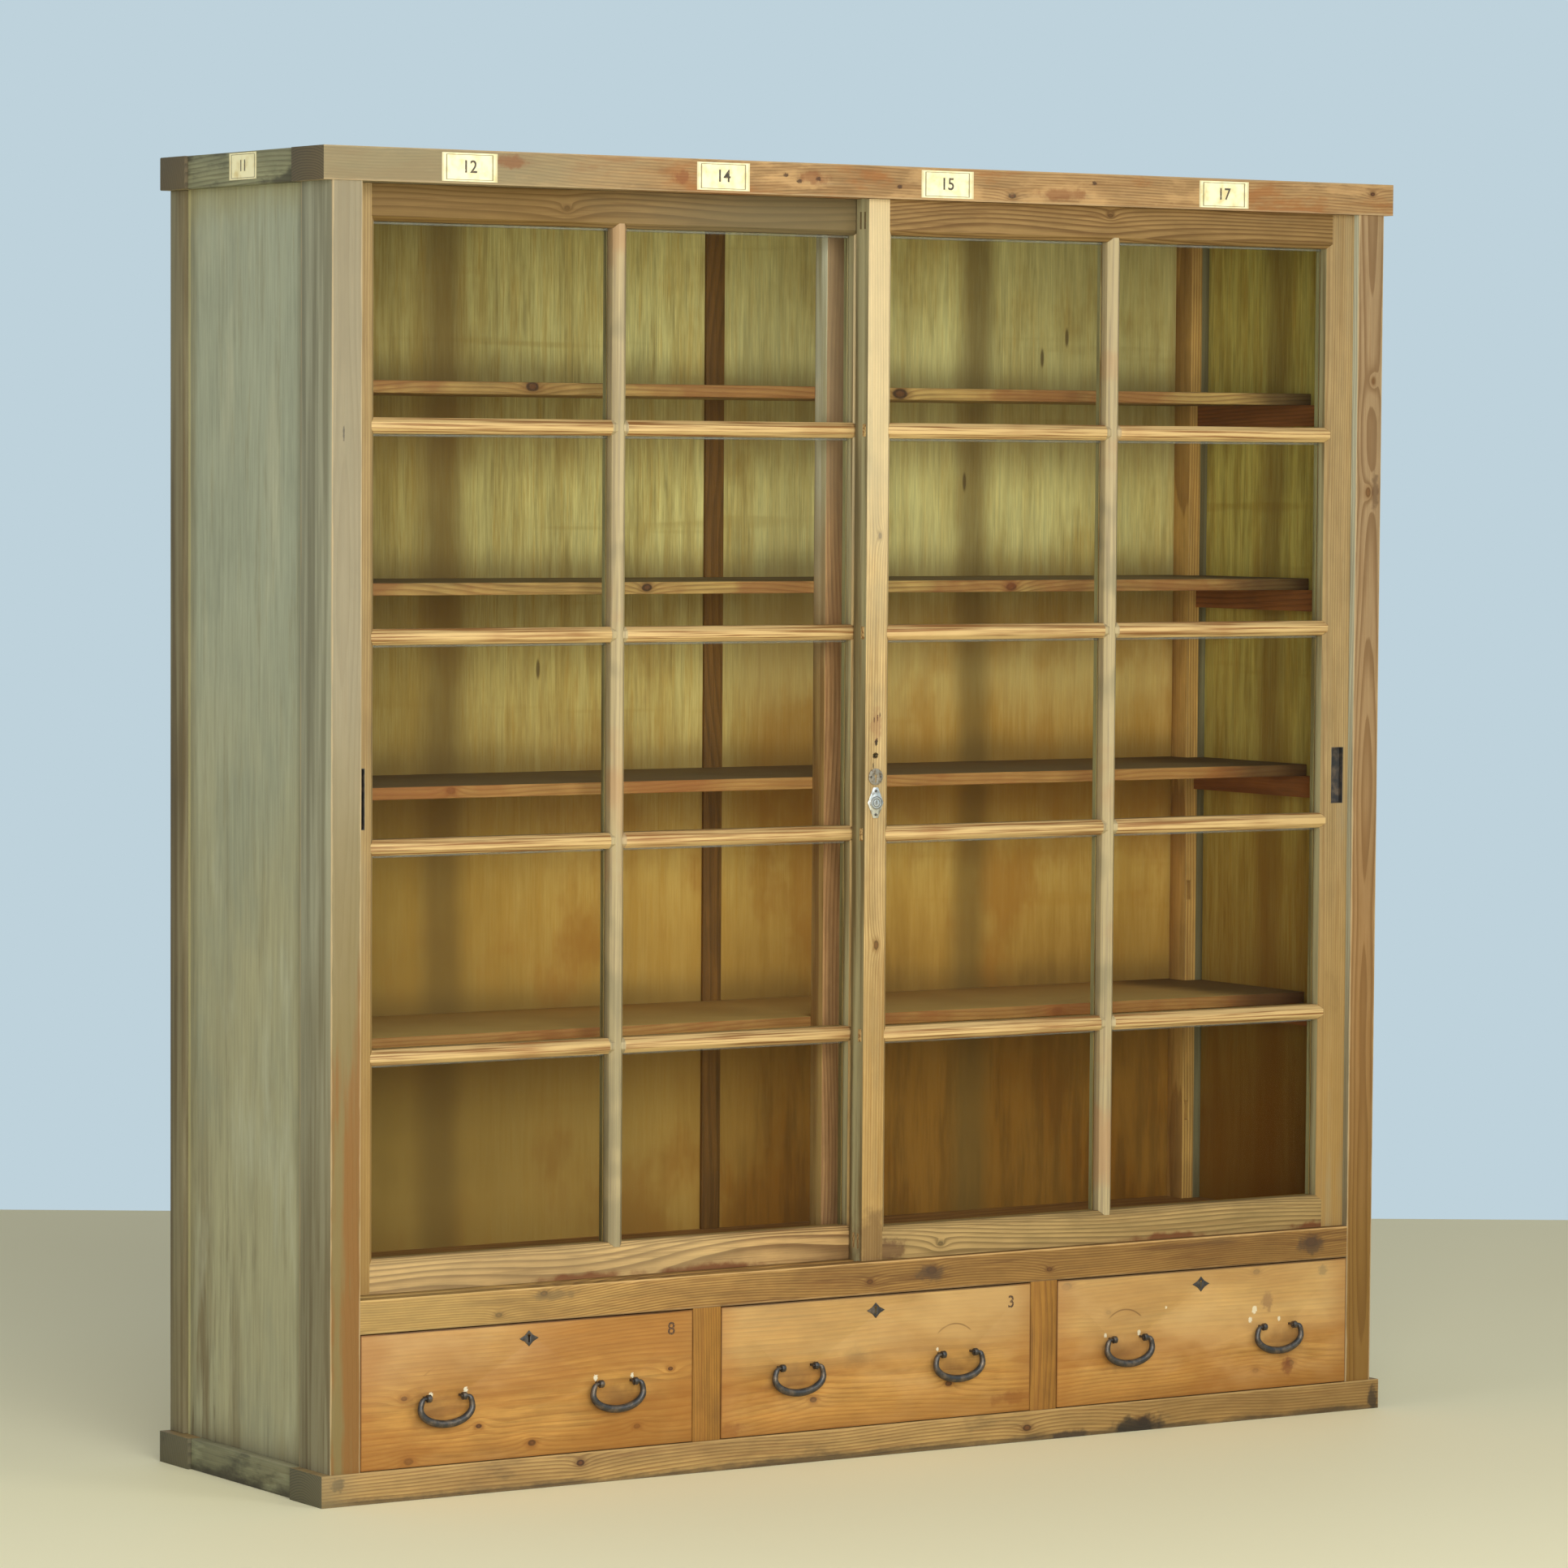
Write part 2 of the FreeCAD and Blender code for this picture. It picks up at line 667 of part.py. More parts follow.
def drawer_bolt(x, clearance, throw):
    """The bolt of a drawer lock at rest, or with clearance and throw the pocket that it moves in."""
    return block(x - drawer_bolt_width / 2 - clearance, x + drawer_bolt_width / 2 + clearance,
                 bolt_slot_front + bolt_clearance - clearance, bolt_slot_back - bolt_clearance + clearance,
                 drawer_top_z - drawer_bolt_height - drawer_running_gap * (clearance > 0),
                 drawer_top_z + throw)


def drawer_bolt_mortises():
    """Pockets under the sill that the three drawer bolts rise into."""
    return [drawer_bolt(x + offset, 3 * bolt_clearance, drawer_top_gap + drawer_bolt_throw + overrun)
            for x, offset in zip(drawer_centres(), hardware_offsets)]


def lock_case(x, key_z):
    """The drawer lock's case on the inner face of the front, open at the top for the bolt."""
    case = block(x - drawer_lock_width / 2, x + drawer_lock_width / 2, drawer_front_thickness,
                 drawer_front_thickness + drawer_lock_depth, drawer_top_z - drawer_lock_height, drawer_top_z)
    key_way = keyhole(x, key_z + keyhole_rise, drawer_front_thickness - overrun,
                      bolt_slot_front + bolt_clearance)
    return case.cut([drawer_bolt(x, bolt_clearance, overrun), key_way])


def split_eye(x):
    """An eye of folded iron: the loop in front, its shank through the wood and both legs bent flat inside."""
    turns = [2 * math.pi * i / eye_flats for i in range(eye_flats)]
    loop = prism([place(x - eye_width / 2, -bail_standoff + eye_radius * math.cos(turn),
                        bail_level + eye_radius * math.sin(turn)) for turn in turns], (eye_width, 0, 0))
    shank = block(x - eye_shank_width / 2, x + eye_shank_width / 2, -bail_standoff + eye_radius / 2,
                  drawer_front_thickness + eye_leg_thickness,
                  bail_level - eye_shank_height / 2, bail_level + eye_shank_height / 2)
    legs = centred_block(x, drawer_front_thickness + eye_leg_thickness / 2, bail_level,
                         eye_shank_width, eye_leg_thickness, 2 * eye_leg_length)
    bore = rod(x - eye_width, -bail_standoff, bail_level, bail_pin_radius + bail_pin_clearance,
               2 * eye_width, (1, 0, 0))
    return loop.fuse([shank, legs]).removeSplitter().cut(bore)


def bail_line():
    """Stations along half a bail, from the middle of the grip to the pin: x, z, heading and radius."""
    stations = []
    belly_z = -bail_drop + bail_belly_height
    for i in range(6):
        turn = math.radians(20 * i)
        heading = math.atan2(bail_belly_height * math.sin(turn), bail_half_width * math.cos(turn))
        share = (i / 5) ** 2
        stations.append((bail_half_width * math.sin(turn), belly_z - bail_belly_height * math.cos(turn),
                         heading, bail_middle_radius + (bail_shoulder_radius - bail_middle_radius) * share))
    x, z, heading, radius = stations[-1]
    lift = -z - bail_turn_radius * (1 + math.cos(heading))
    x += lift / math.tan(heading)
    z += lift
    for share in (0.0, 0.5, 1.0):
        angle = heading + (math.pi - heading) * share
        stations.append((x - bail_turn_radius * (math.sin(heading) - math.sin(angle)),
                         z + bail_turn_radius * (math.cos(heading) - math.cos(angle)), angle,
                         bail_shoulder_radius + (bail_pin_radius - bail_shoulder_radius) * share))
    stations.append((bail_pin_end, 0.0, math.pi, bail_pin_radius))
    return stations


def make_bail(middle):
    """A forged bail, thick in the grip and thin at the necks, with its ends turned in as hinge pins."""
    half = bail_line()
    stations = [(-x, z, -heading, radius) for x, z, heading, radius in reversed(half[1:])] + half
    rings = [flat_ring(middle + x, z, heading, radius) for x, z, heading, radius in stations]
    skin = [Part.Face(Part.makePolygon(ring + [ring[0]])) for ring in (rings[0], rings[-1])]
    for near, far in zip(rings, rings[1:]):
        for i in range(bail_flats):
            j = (i + 1) % bail_flats
            for corners in ((near[i], near[j], far[j]), (near[i], far[j], far[i])):
                skin.append(Part.Face(Part.makePolygon(list(corners) + [corners[0]])))
    return Part.Solid(Part.Shell(skin))


def flat_ring(x, z, heading, radius):
    """Corners of the many-sided section that the hammer leaves, square to the bar at this station."""
    ring = []
    for i in range(bail_flats):
        turn = 2 * math.pi * (i + 0.5) / bail_flats
        out = radius * math.cos(turn)
        ring.append(place(x - out * math.sin(heading), -bail_standoff + radius * math.sin(turn),
                          bail_level + z + out * math.cos(heading)))
    return ring


# Sliding doors. Each is a frame of two stiles and two rails round a lattice of bevelled bars. Every
# inner edge has the same bevel in front and the same glass rebate behind, and each member is coped
# over the one that it meets, so the bevels mitre at every corner and crossing.
door_width = half_opening + door_overlap / 2 - door_end_clearance
door_shoulder_z = sill_top + shoulder_clearance
door_head_z = cornice_underside - shoulder_clearance
door_foot_z = sill_top - sill_track_depth + tongue_floor_clearance
door_crown_z = cornice_underside + tongue_head_entry
light_bottom = door_shoulder_z + door_bottom_rail
light_top = door_head_z - door_top_rail
light_height = (light_top - light_bottom - (door_rows - 1) * bar_width) / door_rows
reach = max(bevel, rebate_width)


def edge_profile(face, back, fin):
    """Outline of an upright edge that faces +X: face, bevel, straight side, glass rebate and fin."""
    return [(back, 0), (face - bevel, 0), (face, bevel), (face, glass_depth), (fin, glass_depth),
            (fin, door_thickness), (back, door_thickness)]


def upright(outline, front, z0, z1):
    """An upright member from an outline of x and depth."""
    return prism([place(x, front + d, z0) for x, d in outline], (0, 0, z1 - z0))


def level_member(outline, front, x0, x1):
    """A level member from an outline of z and depth."""
    return prism([place(x0, front + d, z) for z, d in outline], (x1 - x0, 0, 0))


def bar_outline(middle):
    """Both edges of a glazing bar round its middle line."""
    right = edge_profile(bar_width / 2, 0, bar_fin_width / 2)
    right = right[1:-1]
    left = [(-x, d) for x, d in reversed(right)]
    return [(middle + x, d) for x, d in right + left]


def tongue_shoulders(x0, x1, front):
    """What is cut from a door's foot and head to leave the tongues that run in the grooves."""
    half = track_width / 2 - tongue_side_clearance
    middle = front + door_thickness / 2
    tools = []
    for z0, z1 in ((door_foot_z - overrun, door_shoulder_z), (door_head_z, door_crown_z + overrun)):
        tools.append(block(x0 - overrun, x1 + overrun, front - overrun, middle - half, z0, z1))
        tools.append(block(x0 - overrun, x1 + overrun, middle + half, front + door_thickness + overrun, z0, z1))
    return tools


def bar_levels():
    """Middle heights of the level glazing bars, from the lowest up."""
    pitch = light_height + bar_width
    return [light_bottom + light_height + bar_width / 2 + i * pitch for i in range(door_rows - 1)]


def rail_tenons(x0, x1, front, extra=0.0):
    """Twin through tenons of both rails across a stile from x0 to x1, or with extra their mortises."""
    first = front + twin_tenon_setback
    second = first + twin_tenon_pitch
    spans = ((door_shoulder_z + twin_tenon_shoulder, light_bottom - rebate_width),
             (light_top + rebate_width, door_head_z - twin_tenon_shoulder))
    return [block(x0, x1, d - extra / 2, d + twin_tenon_thickness + extra / 2, z0 - extra / 2, z1 + extra / 2)
            for z0, z1 in spans for d in (first, second)]


def bar_tenons(x0, x1, front, extra=0.0):
    """Through tenons of the level bars across a stile."""
    tall = (bar_tenon_height + extra) / 2
    return [block(x0, x1, front + bar_tenon_setback - extra / 2,
                  front + bar_tenon_setback + bar_tenon_thickness + extra / 2, z - tall, z + tall)
            for z in bar_levels()]


def make_door(name, left, front, meeting_on_left, stile_cuts):
    """One door whose left edge is at left and whose face is this far behind the front plane."""
    right = left + door_width
    left_width, right_width = outer_stile_width, meeting_stile_width
    if meeting_on_left:
        left_width, right_width = meeting_stile_width, outer_stile_width
    light_left = left + left_width
    light_right = right - right_width
    middle = (light_left + light_right) / 2
    shoulders = tongue_shoulders(left, right, front)

    left_stile = upright([(left + x, d) for x, d in edge_profile(left_width, 0, left_width - rebate_width)],
                         front, door_foot_z, door_crown_z)
    right_stile = upright([(right - x, d) for x, d in edge_profile(right_width, 0, right_width - rebate_width)],
                          front, door_foot_z, door_crown_z)
    stiles = [left_stile, right_stile]
    bottom = level_member([(light_bottom - door_bottom_rail - reach + z, d) for z, d in
                           edge_profile(door_bottom_rail + reach, 0, door_bottom_rail + reach - rebate_width)],
                          front, light_left - reach, light_right + reach)
    top = level_member([(light_top + door_top_rail + tongue_head_entry + reach - z, d) for z, d in
                        edge_profile(door_top_rail + tongue_head_entry + reach, 0,
                                     door_top_rail + tongue_head_entry + reach - rebate_width)],
                       front, light_left - reach, light_right + reach)
    limits = [block(left - reach, right + reach, front - overrun, front + door_thickness + overrun,
                    door_foot_z - 2 * reach, door_foot_z),
              block(left - reach, right + reach, front - overrun, front + door_thickness + overrun,
                    door_crown_z, door_crown_z + 2 * reach)]
    rails = [rail.cut(stiles + limits + shoulders) for rail in (bottom, top)]
    upright_bar = upright(bar_outline(middle), front, light_bottom - reach, light_top + reach).cut(rails)
    bars = [upright_bar]
    for z in bar_levels():
        for x0, x1 in ((light_left - reach, middle), (middle, light_right + reach)):
            bars.append(level_member(bar_outline(z), front, x0, x1).cut(stiles + [upright_bar]))

    spans = ((left, light_left), (light_right, right))
    finished = []
    for stile, (x0, x1) in zip(stiles, spans):
        mortises = rail_tenons(x0 - overrun, x1 + overrun, front, fit)
        mortises += bar_tenons(x0 - overrun, x1 + overrun, front, fit)
        finished.append(stile.cut(mortises + shoulders + stile_cuts))
    save(name + "_stiles", finished)

    tenoned = []
    for i, rail in enumerate(rails):
        stubs = []
        for x0, x1 in spans:
            stubs += rail_tenons(x0, x1, front)[2 * i:2 * i + 2]
        socket = upright_bar_tenon(middle, front, (light_bottom, light_top)[i], fit)
        tenoned.append(rail.fuse(stubs).removeSplitter().cut(socket))
    save(name + "_rails", tenoned)

    upright_stubs = [upright_bar_tenon(middle, front, z) for z in (light_bottom, light_top)]
    bars[0] = bars[0].fuse(upright_stubs).removeSplitter()
    left_stubs = bar_tenons(left, light_left, front)
    right_stubs = bar_tenons(light_right, right, front)
    for i in range(door_rows - 1):
        bars[1 + 2 * i] = bars[1 + 2 * i].fuse(left_stubs[i]).removeSplitter()
        bars[2 + 2 * i] = bars[2 + 2 * i].fuse(right_stubs[i]).removeSplitter()
    save(name + "_glazing_bars", bars)
    make_glazing(name, light_left, light_right, middle, front)


def upright_bar_tenon(x, front, z, extra=0.0):
    """The blind stub at one end of the upright bar, or with extra its mortise in the rail."""
    return centred_block(x, front + bar_tenon_setback + bar_tenon_thickness / 2, z, bar_tenon_height + extra,
                         bar_tenon_thickness + extra, 2 * upright_tenon_length + extra)


def make_glazing(name, light_left, light_right, middle, front):
    """The panes and the slim beads that hold them in their rebates."""
    panes = []
    beads = []
    glass_front = front + glass_depth
    bead_front = glass_front + glass_thickness + bead_clearance
    back = front + door_thickness
    rim = rebate_width - glass_edge_clearance
    for row in range(door_rows):
        z0 = light_bottom + row * (light_height + bar_width)
        z1 = z0 + light_height
        for x0, x1 in ((light_left, middle - bar_width / 2), (middle + bar_width / 2, light_right)):
            panes.append(block(x0 - rim, x1 + rim, glass_front, glass_front + glass_thickness,
                               z0 - rim, z1 + rim))
            for x in (x0 - rebate_width, x1):
                beads.append(block(x + bead_clearance, x + rebate_width - bead_clearance, bead_front, back,
                                   z0 - rebate_width + bead_clearance, z1 + rebate_width - bead_clearance))
            for z in (z0 - rebate_width, z1):
                beads.append(block(x0 + bead_clearance, x1 - bead_clearance, bead_front, back,
                                   z + bead_clearance, z + rebate_width - bead_clearance))
    save(name + "_panes", panes)
    save(name + "_glass_beads", beads)


# Door furniture
right_door_left = half_opening - door_end_clearance - door_width
left_door_left = -half_opening + door_end_clearance
right_door_front = front_door_recess
left_door_front = front_door_recess + door_thickness + door_gap
lock_x = right_door_left + (meeting_stile_width - bevel) / 2
hand_bar_level = bar_levels()[1]
pull_level = hand_bar_level + pull_rise
lock_level = hand_bar_level + lock_rise
right_pull_x = half_opening - door_end_clearance - (outer_stile_width - bevel) / 2
left_pull_x = -half_opening + door_end_clearance + (outer_stile_width - bevel) / 2


def pull_pocket(x, front):
    """The pocket in a stile that a finger pull sits in."""
    return block(x - pull_width / 2 - joint_clearance, x + pull_width / 2 + joint_clearance, front - overrun,
                 front + pull_depth + joint_clearance, pull_level - pull_length / 2 - joint_clearance,
                 pull_level + pull_length / 2 + joint_clearance)


def make_pull(name, x, front):
    """A sunk cup of thin iron, flush with the stile and open to the front."""
    cup = block(x - pull_width / 2, x + pull_width / 2, front, front + pull_depth,
                pull_level - pull_length / 2, pull_level + pull_length / 2)
    hollow = block(x - pull_width / 2 + pull_wall, x + pull_width / 2 - pull_wall, front - overrun,
                   front + pull_depth - pull_wall, pull_level - pull_length / 2 + pull_wall,
                   pull_level + pull_length / 2 - pull_wall)
    upright_edges = [edge for edge in hollow.Edges if abs(edge.Length - (pull_depth - pull_wall + overrun)) < 0.01]
    hollow = hollow.makeFillet(pull_rim_radius, upright_edges)
    save(name, [cup.cut(hollow)])


def make_door_lock():
    """A barrel lock through the front door's meeting stile: case, turning plug, sliding bolt and strike."""
    front = right_door_front
    barrel = rod(lock_x, front - lock_barrel_rise, lock_level, lock_barrel_radius,
                 lock_barrel_rise + door_thickness, (0, 1, 0))
    half_w = lock_plate_width / 2
    half_h = lock_plate_height / 2
    corner = lock_plate_end_width / 2
    outline = [(-half_w, 0), (-corner, half_h), (corner, half_h), (half_w, 0), (corner, -half_h),
               (-corner, -half_h)]
    plate = prism([place(lock_x + x, front - lock_plate_thickness, lock_level + z) for x, z in outline],
                  (0, lock_plate_thickness, 0))
    plug_bore = rod(lock_x, front - lock_barrel_rise - overrun, lock_level, plug_radius + plug_clearance,
                    plug_length + overrun + plug_clearance, (0, 1, 0))
    bolt_way = centred_block(lock_x, front + door_thickness, lock_level,
                             door_bolt_size + 2 * door_bolt_clearance, 2 * (door_bolt_length + door_bolt_clearance),
                             door_bolt_size + 2 * door_bolt_clearance)
    case = barrel.fuse(plate).removeSplitter().cut([plug_bore, bolt_way])
    save("door_lock_case", [case])

    plug = rod(lock_x, front - lock_barrel_rise, lock_level, plug_radius, plug_length, (0, 1, 0))
    slot = centred_block(lock_x, front - lock_barrel_rise, lock_level, key_slot_width, 2 * key_slot_depth,
                         key_slot_height)
    save("door_lock_plug", [plug.cut(slot)])
    bolt_back = front + door_thickness
    bolt = block(lock_x - door_bolt_size / 2, lock_x + door_bolt_size / 2, bolt_back - door_bolt_length,
                 bolt_back, lock_level - door_bolt_size / 2, lock_level + door_bolt_size / 2)
    save("door_lock_bolt", [bolt])

    strike = strike_block(0.0).cut(strike_hole())
    save("door_lock_strike", [strike])
    old = rod(lock_x, front - old_plate_thickness, lock_level + old_plate_rise, old_plate_radius,
              old_plate_thickness, (0, 1, 0))
    old_key = keyhole(lock_x, lock_level + old_plate_rise + keyhole_radius / 2,
                      front - old_plate_thickness - overrun, front + overrun)
    save("old_lock_plate", [old.cut(old_key)])


def strike_block(extra):
    """The strike plate let into the rear door's meeting stile, or with extra its recess."""
    return block(lock_x - (strike_width + extra) / 2, lock_x + (strike_width + extra) / 2,
                 left_door_front - extra, left_door_front + strike_thickness + extra / 2,
                 lock_level - (strike_height + extra) / 2, lock_level + (strike_height + extra) / 2)


def strike_hole():
    """The hole that takes the bolt when the doors are locked together."""
    side = door_bolt_size + 4 * door_bolt_clearance
    return centred_block(lock_x, left_door_front, lock_level, side, 2 * (door_bolt_throw + overrun), side)


def make_doors():
    barrel_hole = rod(lock_x, right_door_front - overrun, lock_level, lock_barrel_radius + joint_clearance,
                      door_thickness + 2 * overrun, (0, 1, 0))
    old_hole = rod(lock_x, right_door_front - overrun, lock_level + old_hole_rise, old_hole_radius,
                   old_hole_depth + overrun, (0, 1, 0))
    make_door("right_door", right_door_left, right_door_front, True,
              [barrel_hole, old_hole, pull_pocket(right_pull_x, right_door_front)])
    make_door("left_door", left_door_left, left_door_front, False,
              [strike_block(fit), strike_hole(), pull_pocket(left_pull_x, left_door_front)])
    make_pull("right_door_pull", right_pull_x, right_door_front)
    make_pull("left_door_pull", left_pull_x, left_door_front)
    make_door_lock()


os.makedirs("parts", exist_ok=True)
make_cornice()
make_plinth()
make_posts()
make_panels()
make_sill_and_floor()
make_centre_post()
make_shelves()
make_drawer_carcass()
for number, (centre, offset) in enumerate(zip(drawer_centres(), hardware_offsets), start=1):
    make_drawer(number, centre, centre + offset)
make_doors()
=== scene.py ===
import bpy
import bmesh
import json
import math
from mathutils import Matrix, Vector

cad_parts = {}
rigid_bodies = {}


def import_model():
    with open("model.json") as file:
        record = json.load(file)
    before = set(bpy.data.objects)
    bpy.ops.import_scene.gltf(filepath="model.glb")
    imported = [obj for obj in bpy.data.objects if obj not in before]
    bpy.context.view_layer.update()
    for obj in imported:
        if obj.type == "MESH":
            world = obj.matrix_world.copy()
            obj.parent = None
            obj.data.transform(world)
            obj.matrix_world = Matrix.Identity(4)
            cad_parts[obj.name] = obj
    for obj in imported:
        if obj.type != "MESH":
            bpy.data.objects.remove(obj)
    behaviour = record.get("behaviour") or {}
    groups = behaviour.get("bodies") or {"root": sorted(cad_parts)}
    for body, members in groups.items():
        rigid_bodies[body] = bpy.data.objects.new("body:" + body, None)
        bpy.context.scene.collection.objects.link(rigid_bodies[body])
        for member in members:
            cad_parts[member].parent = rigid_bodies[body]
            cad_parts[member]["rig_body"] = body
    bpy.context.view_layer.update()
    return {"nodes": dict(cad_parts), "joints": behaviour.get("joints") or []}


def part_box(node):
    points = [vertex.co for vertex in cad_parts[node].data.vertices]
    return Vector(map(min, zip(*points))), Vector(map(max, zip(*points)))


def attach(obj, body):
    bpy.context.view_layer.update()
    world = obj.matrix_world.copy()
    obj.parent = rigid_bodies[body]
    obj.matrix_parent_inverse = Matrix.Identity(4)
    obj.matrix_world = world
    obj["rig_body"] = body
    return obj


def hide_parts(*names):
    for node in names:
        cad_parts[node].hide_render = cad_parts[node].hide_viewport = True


# The looks of an old softwood display cabinet: glazed sliding doors over three drawers. Metres; the
# front faces -Y and the floor is at z = 0. Marks on the wood are placed by x and z, as photographed.

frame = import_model()
nodes = frame["nodes"]

MM = 0.001
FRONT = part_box("front_posts")[0].y
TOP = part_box("cornice_front_rail")[1].z
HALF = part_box("front_posts")[1].x
SILL_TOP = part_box("door_sill")[1].z
DRAWERS = ("drawer_1", "drawer_2", "drawer_3")
DOORS = ("right_door", "left_door")

# Places in the solids that marks and finishes follow
SHELF_TOPS = (0.622, 0.970, 1.253, 1.533)
LIGHT_TOPS = (0.6052, 0.8934, 1.1816, 1.4698, 1.7580)
UPRIGHT_BAR = 0.411
BEAM_END = 0.9025
POST_WIDTH = 0.046
LOCK_CENTRE = (-0.00425, 0.0, 0.939)


def tone(screen):
    """A colour as it should look on a screen, written in hexadecimal: red, green, blue."""
    def linear(part):
        part = part / 255
        return part / 12.92 if part <= 0.04045 else ((part + 0.055) / 1.055) ** 2.4
    return (*(linear(part) for part in bytes.fromhex(screen)), 1.0)


def put(name, data):
    """A new object in the scene."""
    made = bpy.data.objects.new(name, data)
    bpy.context.scene.collection.objects.link(made)
    return made


def middle_of(node):
    low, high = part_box(node)
    return (low + high) / 2


def new_node(tree, kind, inputs, settings):
    """Any node, with the value or the link of each socket and its own settings."""
    made = tree.nodes.new(kind)
    for key, value in settings.items():
        setattr(made, key, value)
    for key, value in inputs.items():
        value = getattr(value, "socket", value)
        if isinstance(value, bpy.types.NodeSocket):
            tree.links.new(value, made.inputs[key])
        else:
            made.inputs[key].default_value = value
    return made


# Shader maths
class Value:
    """A shader socket that can be used in a sum; each operator adds one Math node."""

    def __init__(self, finish, socket):
        self.finish = finish
        self.socket = socket

    def __add__(self, other):
        return self.finish.maths("ADD", self, other)

    def __sub__(self, other):
        return self.finish.maths("SUBTRACT", self, other)

    def __rsub__(self, other):
        return self.finish.maths("SUBTRACT", other, self)

    def __mul__(self, other):
        return self.finish.maths("MULTIPLY", self, other)

    def __truediv__(self, other):
        return self.finish.maths("DIVIDE", self, other)

    def __rtruediv__(self, other):
        return self.finish.maths("DIVIDE", other, self)

    def __pow__(self, other):
        return self.finish.maths("POWER", self, other)

    def __abs__(self):
        return self.finish.maths("ABSOLUTE", self)

    __radd__ = __add__
    __rmul__ = __mul__


class Finish:
    """The finish of one kind of surface, built from shader nodes in the piece's own coordinates."""

    def __init__(self, name):
        self.material = bpy.data.materials.new(name)
        self.material.use_nodes = True
        self.tree = self.material.node_tree
        self.tree.nodes.clear()
        self.place = self.node("TexCoord", {}, "Object")
        self.axes = self.split(self.place)
        self.facing = self.split(self.node("TexCoord", {}, "Normal"))
        self.colour = None
        self.blotch = None

    def node(self, kind, inputs, output=0, **settings):
        made = new_node(self.tree, "ShaderNode" + kind, inputs, settings)
        return Value(self, made.outputs[output]) if made.outputs else None

    def maths(self, operation, *values):
        return self.node("Math", dict(enumerate(values)), operation=operation)

    def vector(self, operation, first, second, output=0):
        return self.node("VectorMath", {0: first, 1: second}, output, operation=operation)

    def split(self, vector):
        parts = new_node(self.tree, "ShaderNodeSeparateXYZ", {0: vector}, {}).outputs
        return [Value(self, part) for part in parts]

    def grey(self, value):
        """The same value in all three channels."""
        return self.node("CombineXYZ", {0: value, 1: value, 2: value})

    def step(self, value, low, high):
        """0 at low, 1 at high and smooth between; high may be the smaller one."""
        flip = low > high
        limits = {0: value, 1: min(low, high), 2: max(low, high), 3: float(flip), 4: 1.0 - flip}
        return self.node("MapRange", limits, interpolation_type="SMOOTHSTEP")

    def fade(self, axis, low, high, waver=0.0):
        """0 at low and 1 at high along an axis, with a border as uneven as waver says."""
        place = self.axes["xyz".index(axis)]
        return self.step(place + self.blotch * waver if waver else place, low, high)

    def distance(self, scale, spot):
        """How far away a spot is, with each axis scaled first."""
        return self.vector("DISTANCE", self.vector("MULTIPLY", self.place, scale), spot, "Value")

    def cloud(self, scale, seed, detail=3.0, rough=0.55):
        """Soft noise round 0.5; scale is in lumps per metre, one number or one for each axis."""
        at = self.place
        if isinstance(scale, tuple):
            at = self.vector("MULTIPLY", at, scale)
            scale = 1.0
        at = self.vector("ADD", at, (seed * 1.7, seed * 2.3, seed * 3.1))
        lumps = {"Vector": at, "Scale": scale, "Detail": detail, "Roughness": rough}
        return self.node("TexNoise", lumps, "Fac")

    def blend(self, share, first, second, mode="MIX"):
        """From the first colour to the second; each is a socket or a screen colour."""
        first, second = (tone(each) if isinstance(each, str) else each for each in (first, second))
        given = {0: share, 6: first, 7: second}
        return self.node("Mix", given, 2, data_type="RGBA", blend_type=mode)

    def lay(self, *layers):
        """Lay colours over what is there, in turn; each layer is a mask, a colour and its share."""
        for mask, colour, share in layers:
            self.colour = self.blend(mask * share, self.colour, colour)

    def shade(self, brightness):
        """Lighten or darken what is there."""
        self.colour = self.blend(1.0, self.colour, self.grey(brightness), "MULTIPLY")

    def relief(self, height, distance, strength=1.0):
        given = {"Height": height, "Distance": distance, "Strength": strength}
        return self.node("Bump", given, "Normal")

    def done(self, rough, bump=None, **constants):
        """Close the finish with one Principled shader; the constants are set on its own sockets."""
        inputs = {"Base Color": self.colour, "Roughness": rough}
        if bump:
            inputs["Normal"] = bump
        inputs.update((key.replace("_", " "), value) for key, value in constants.items())
        shader = self.node("BsdfPrincipled", inputs)
        self.node("OutputMaterial", {"Surface": shader})
        return self.material


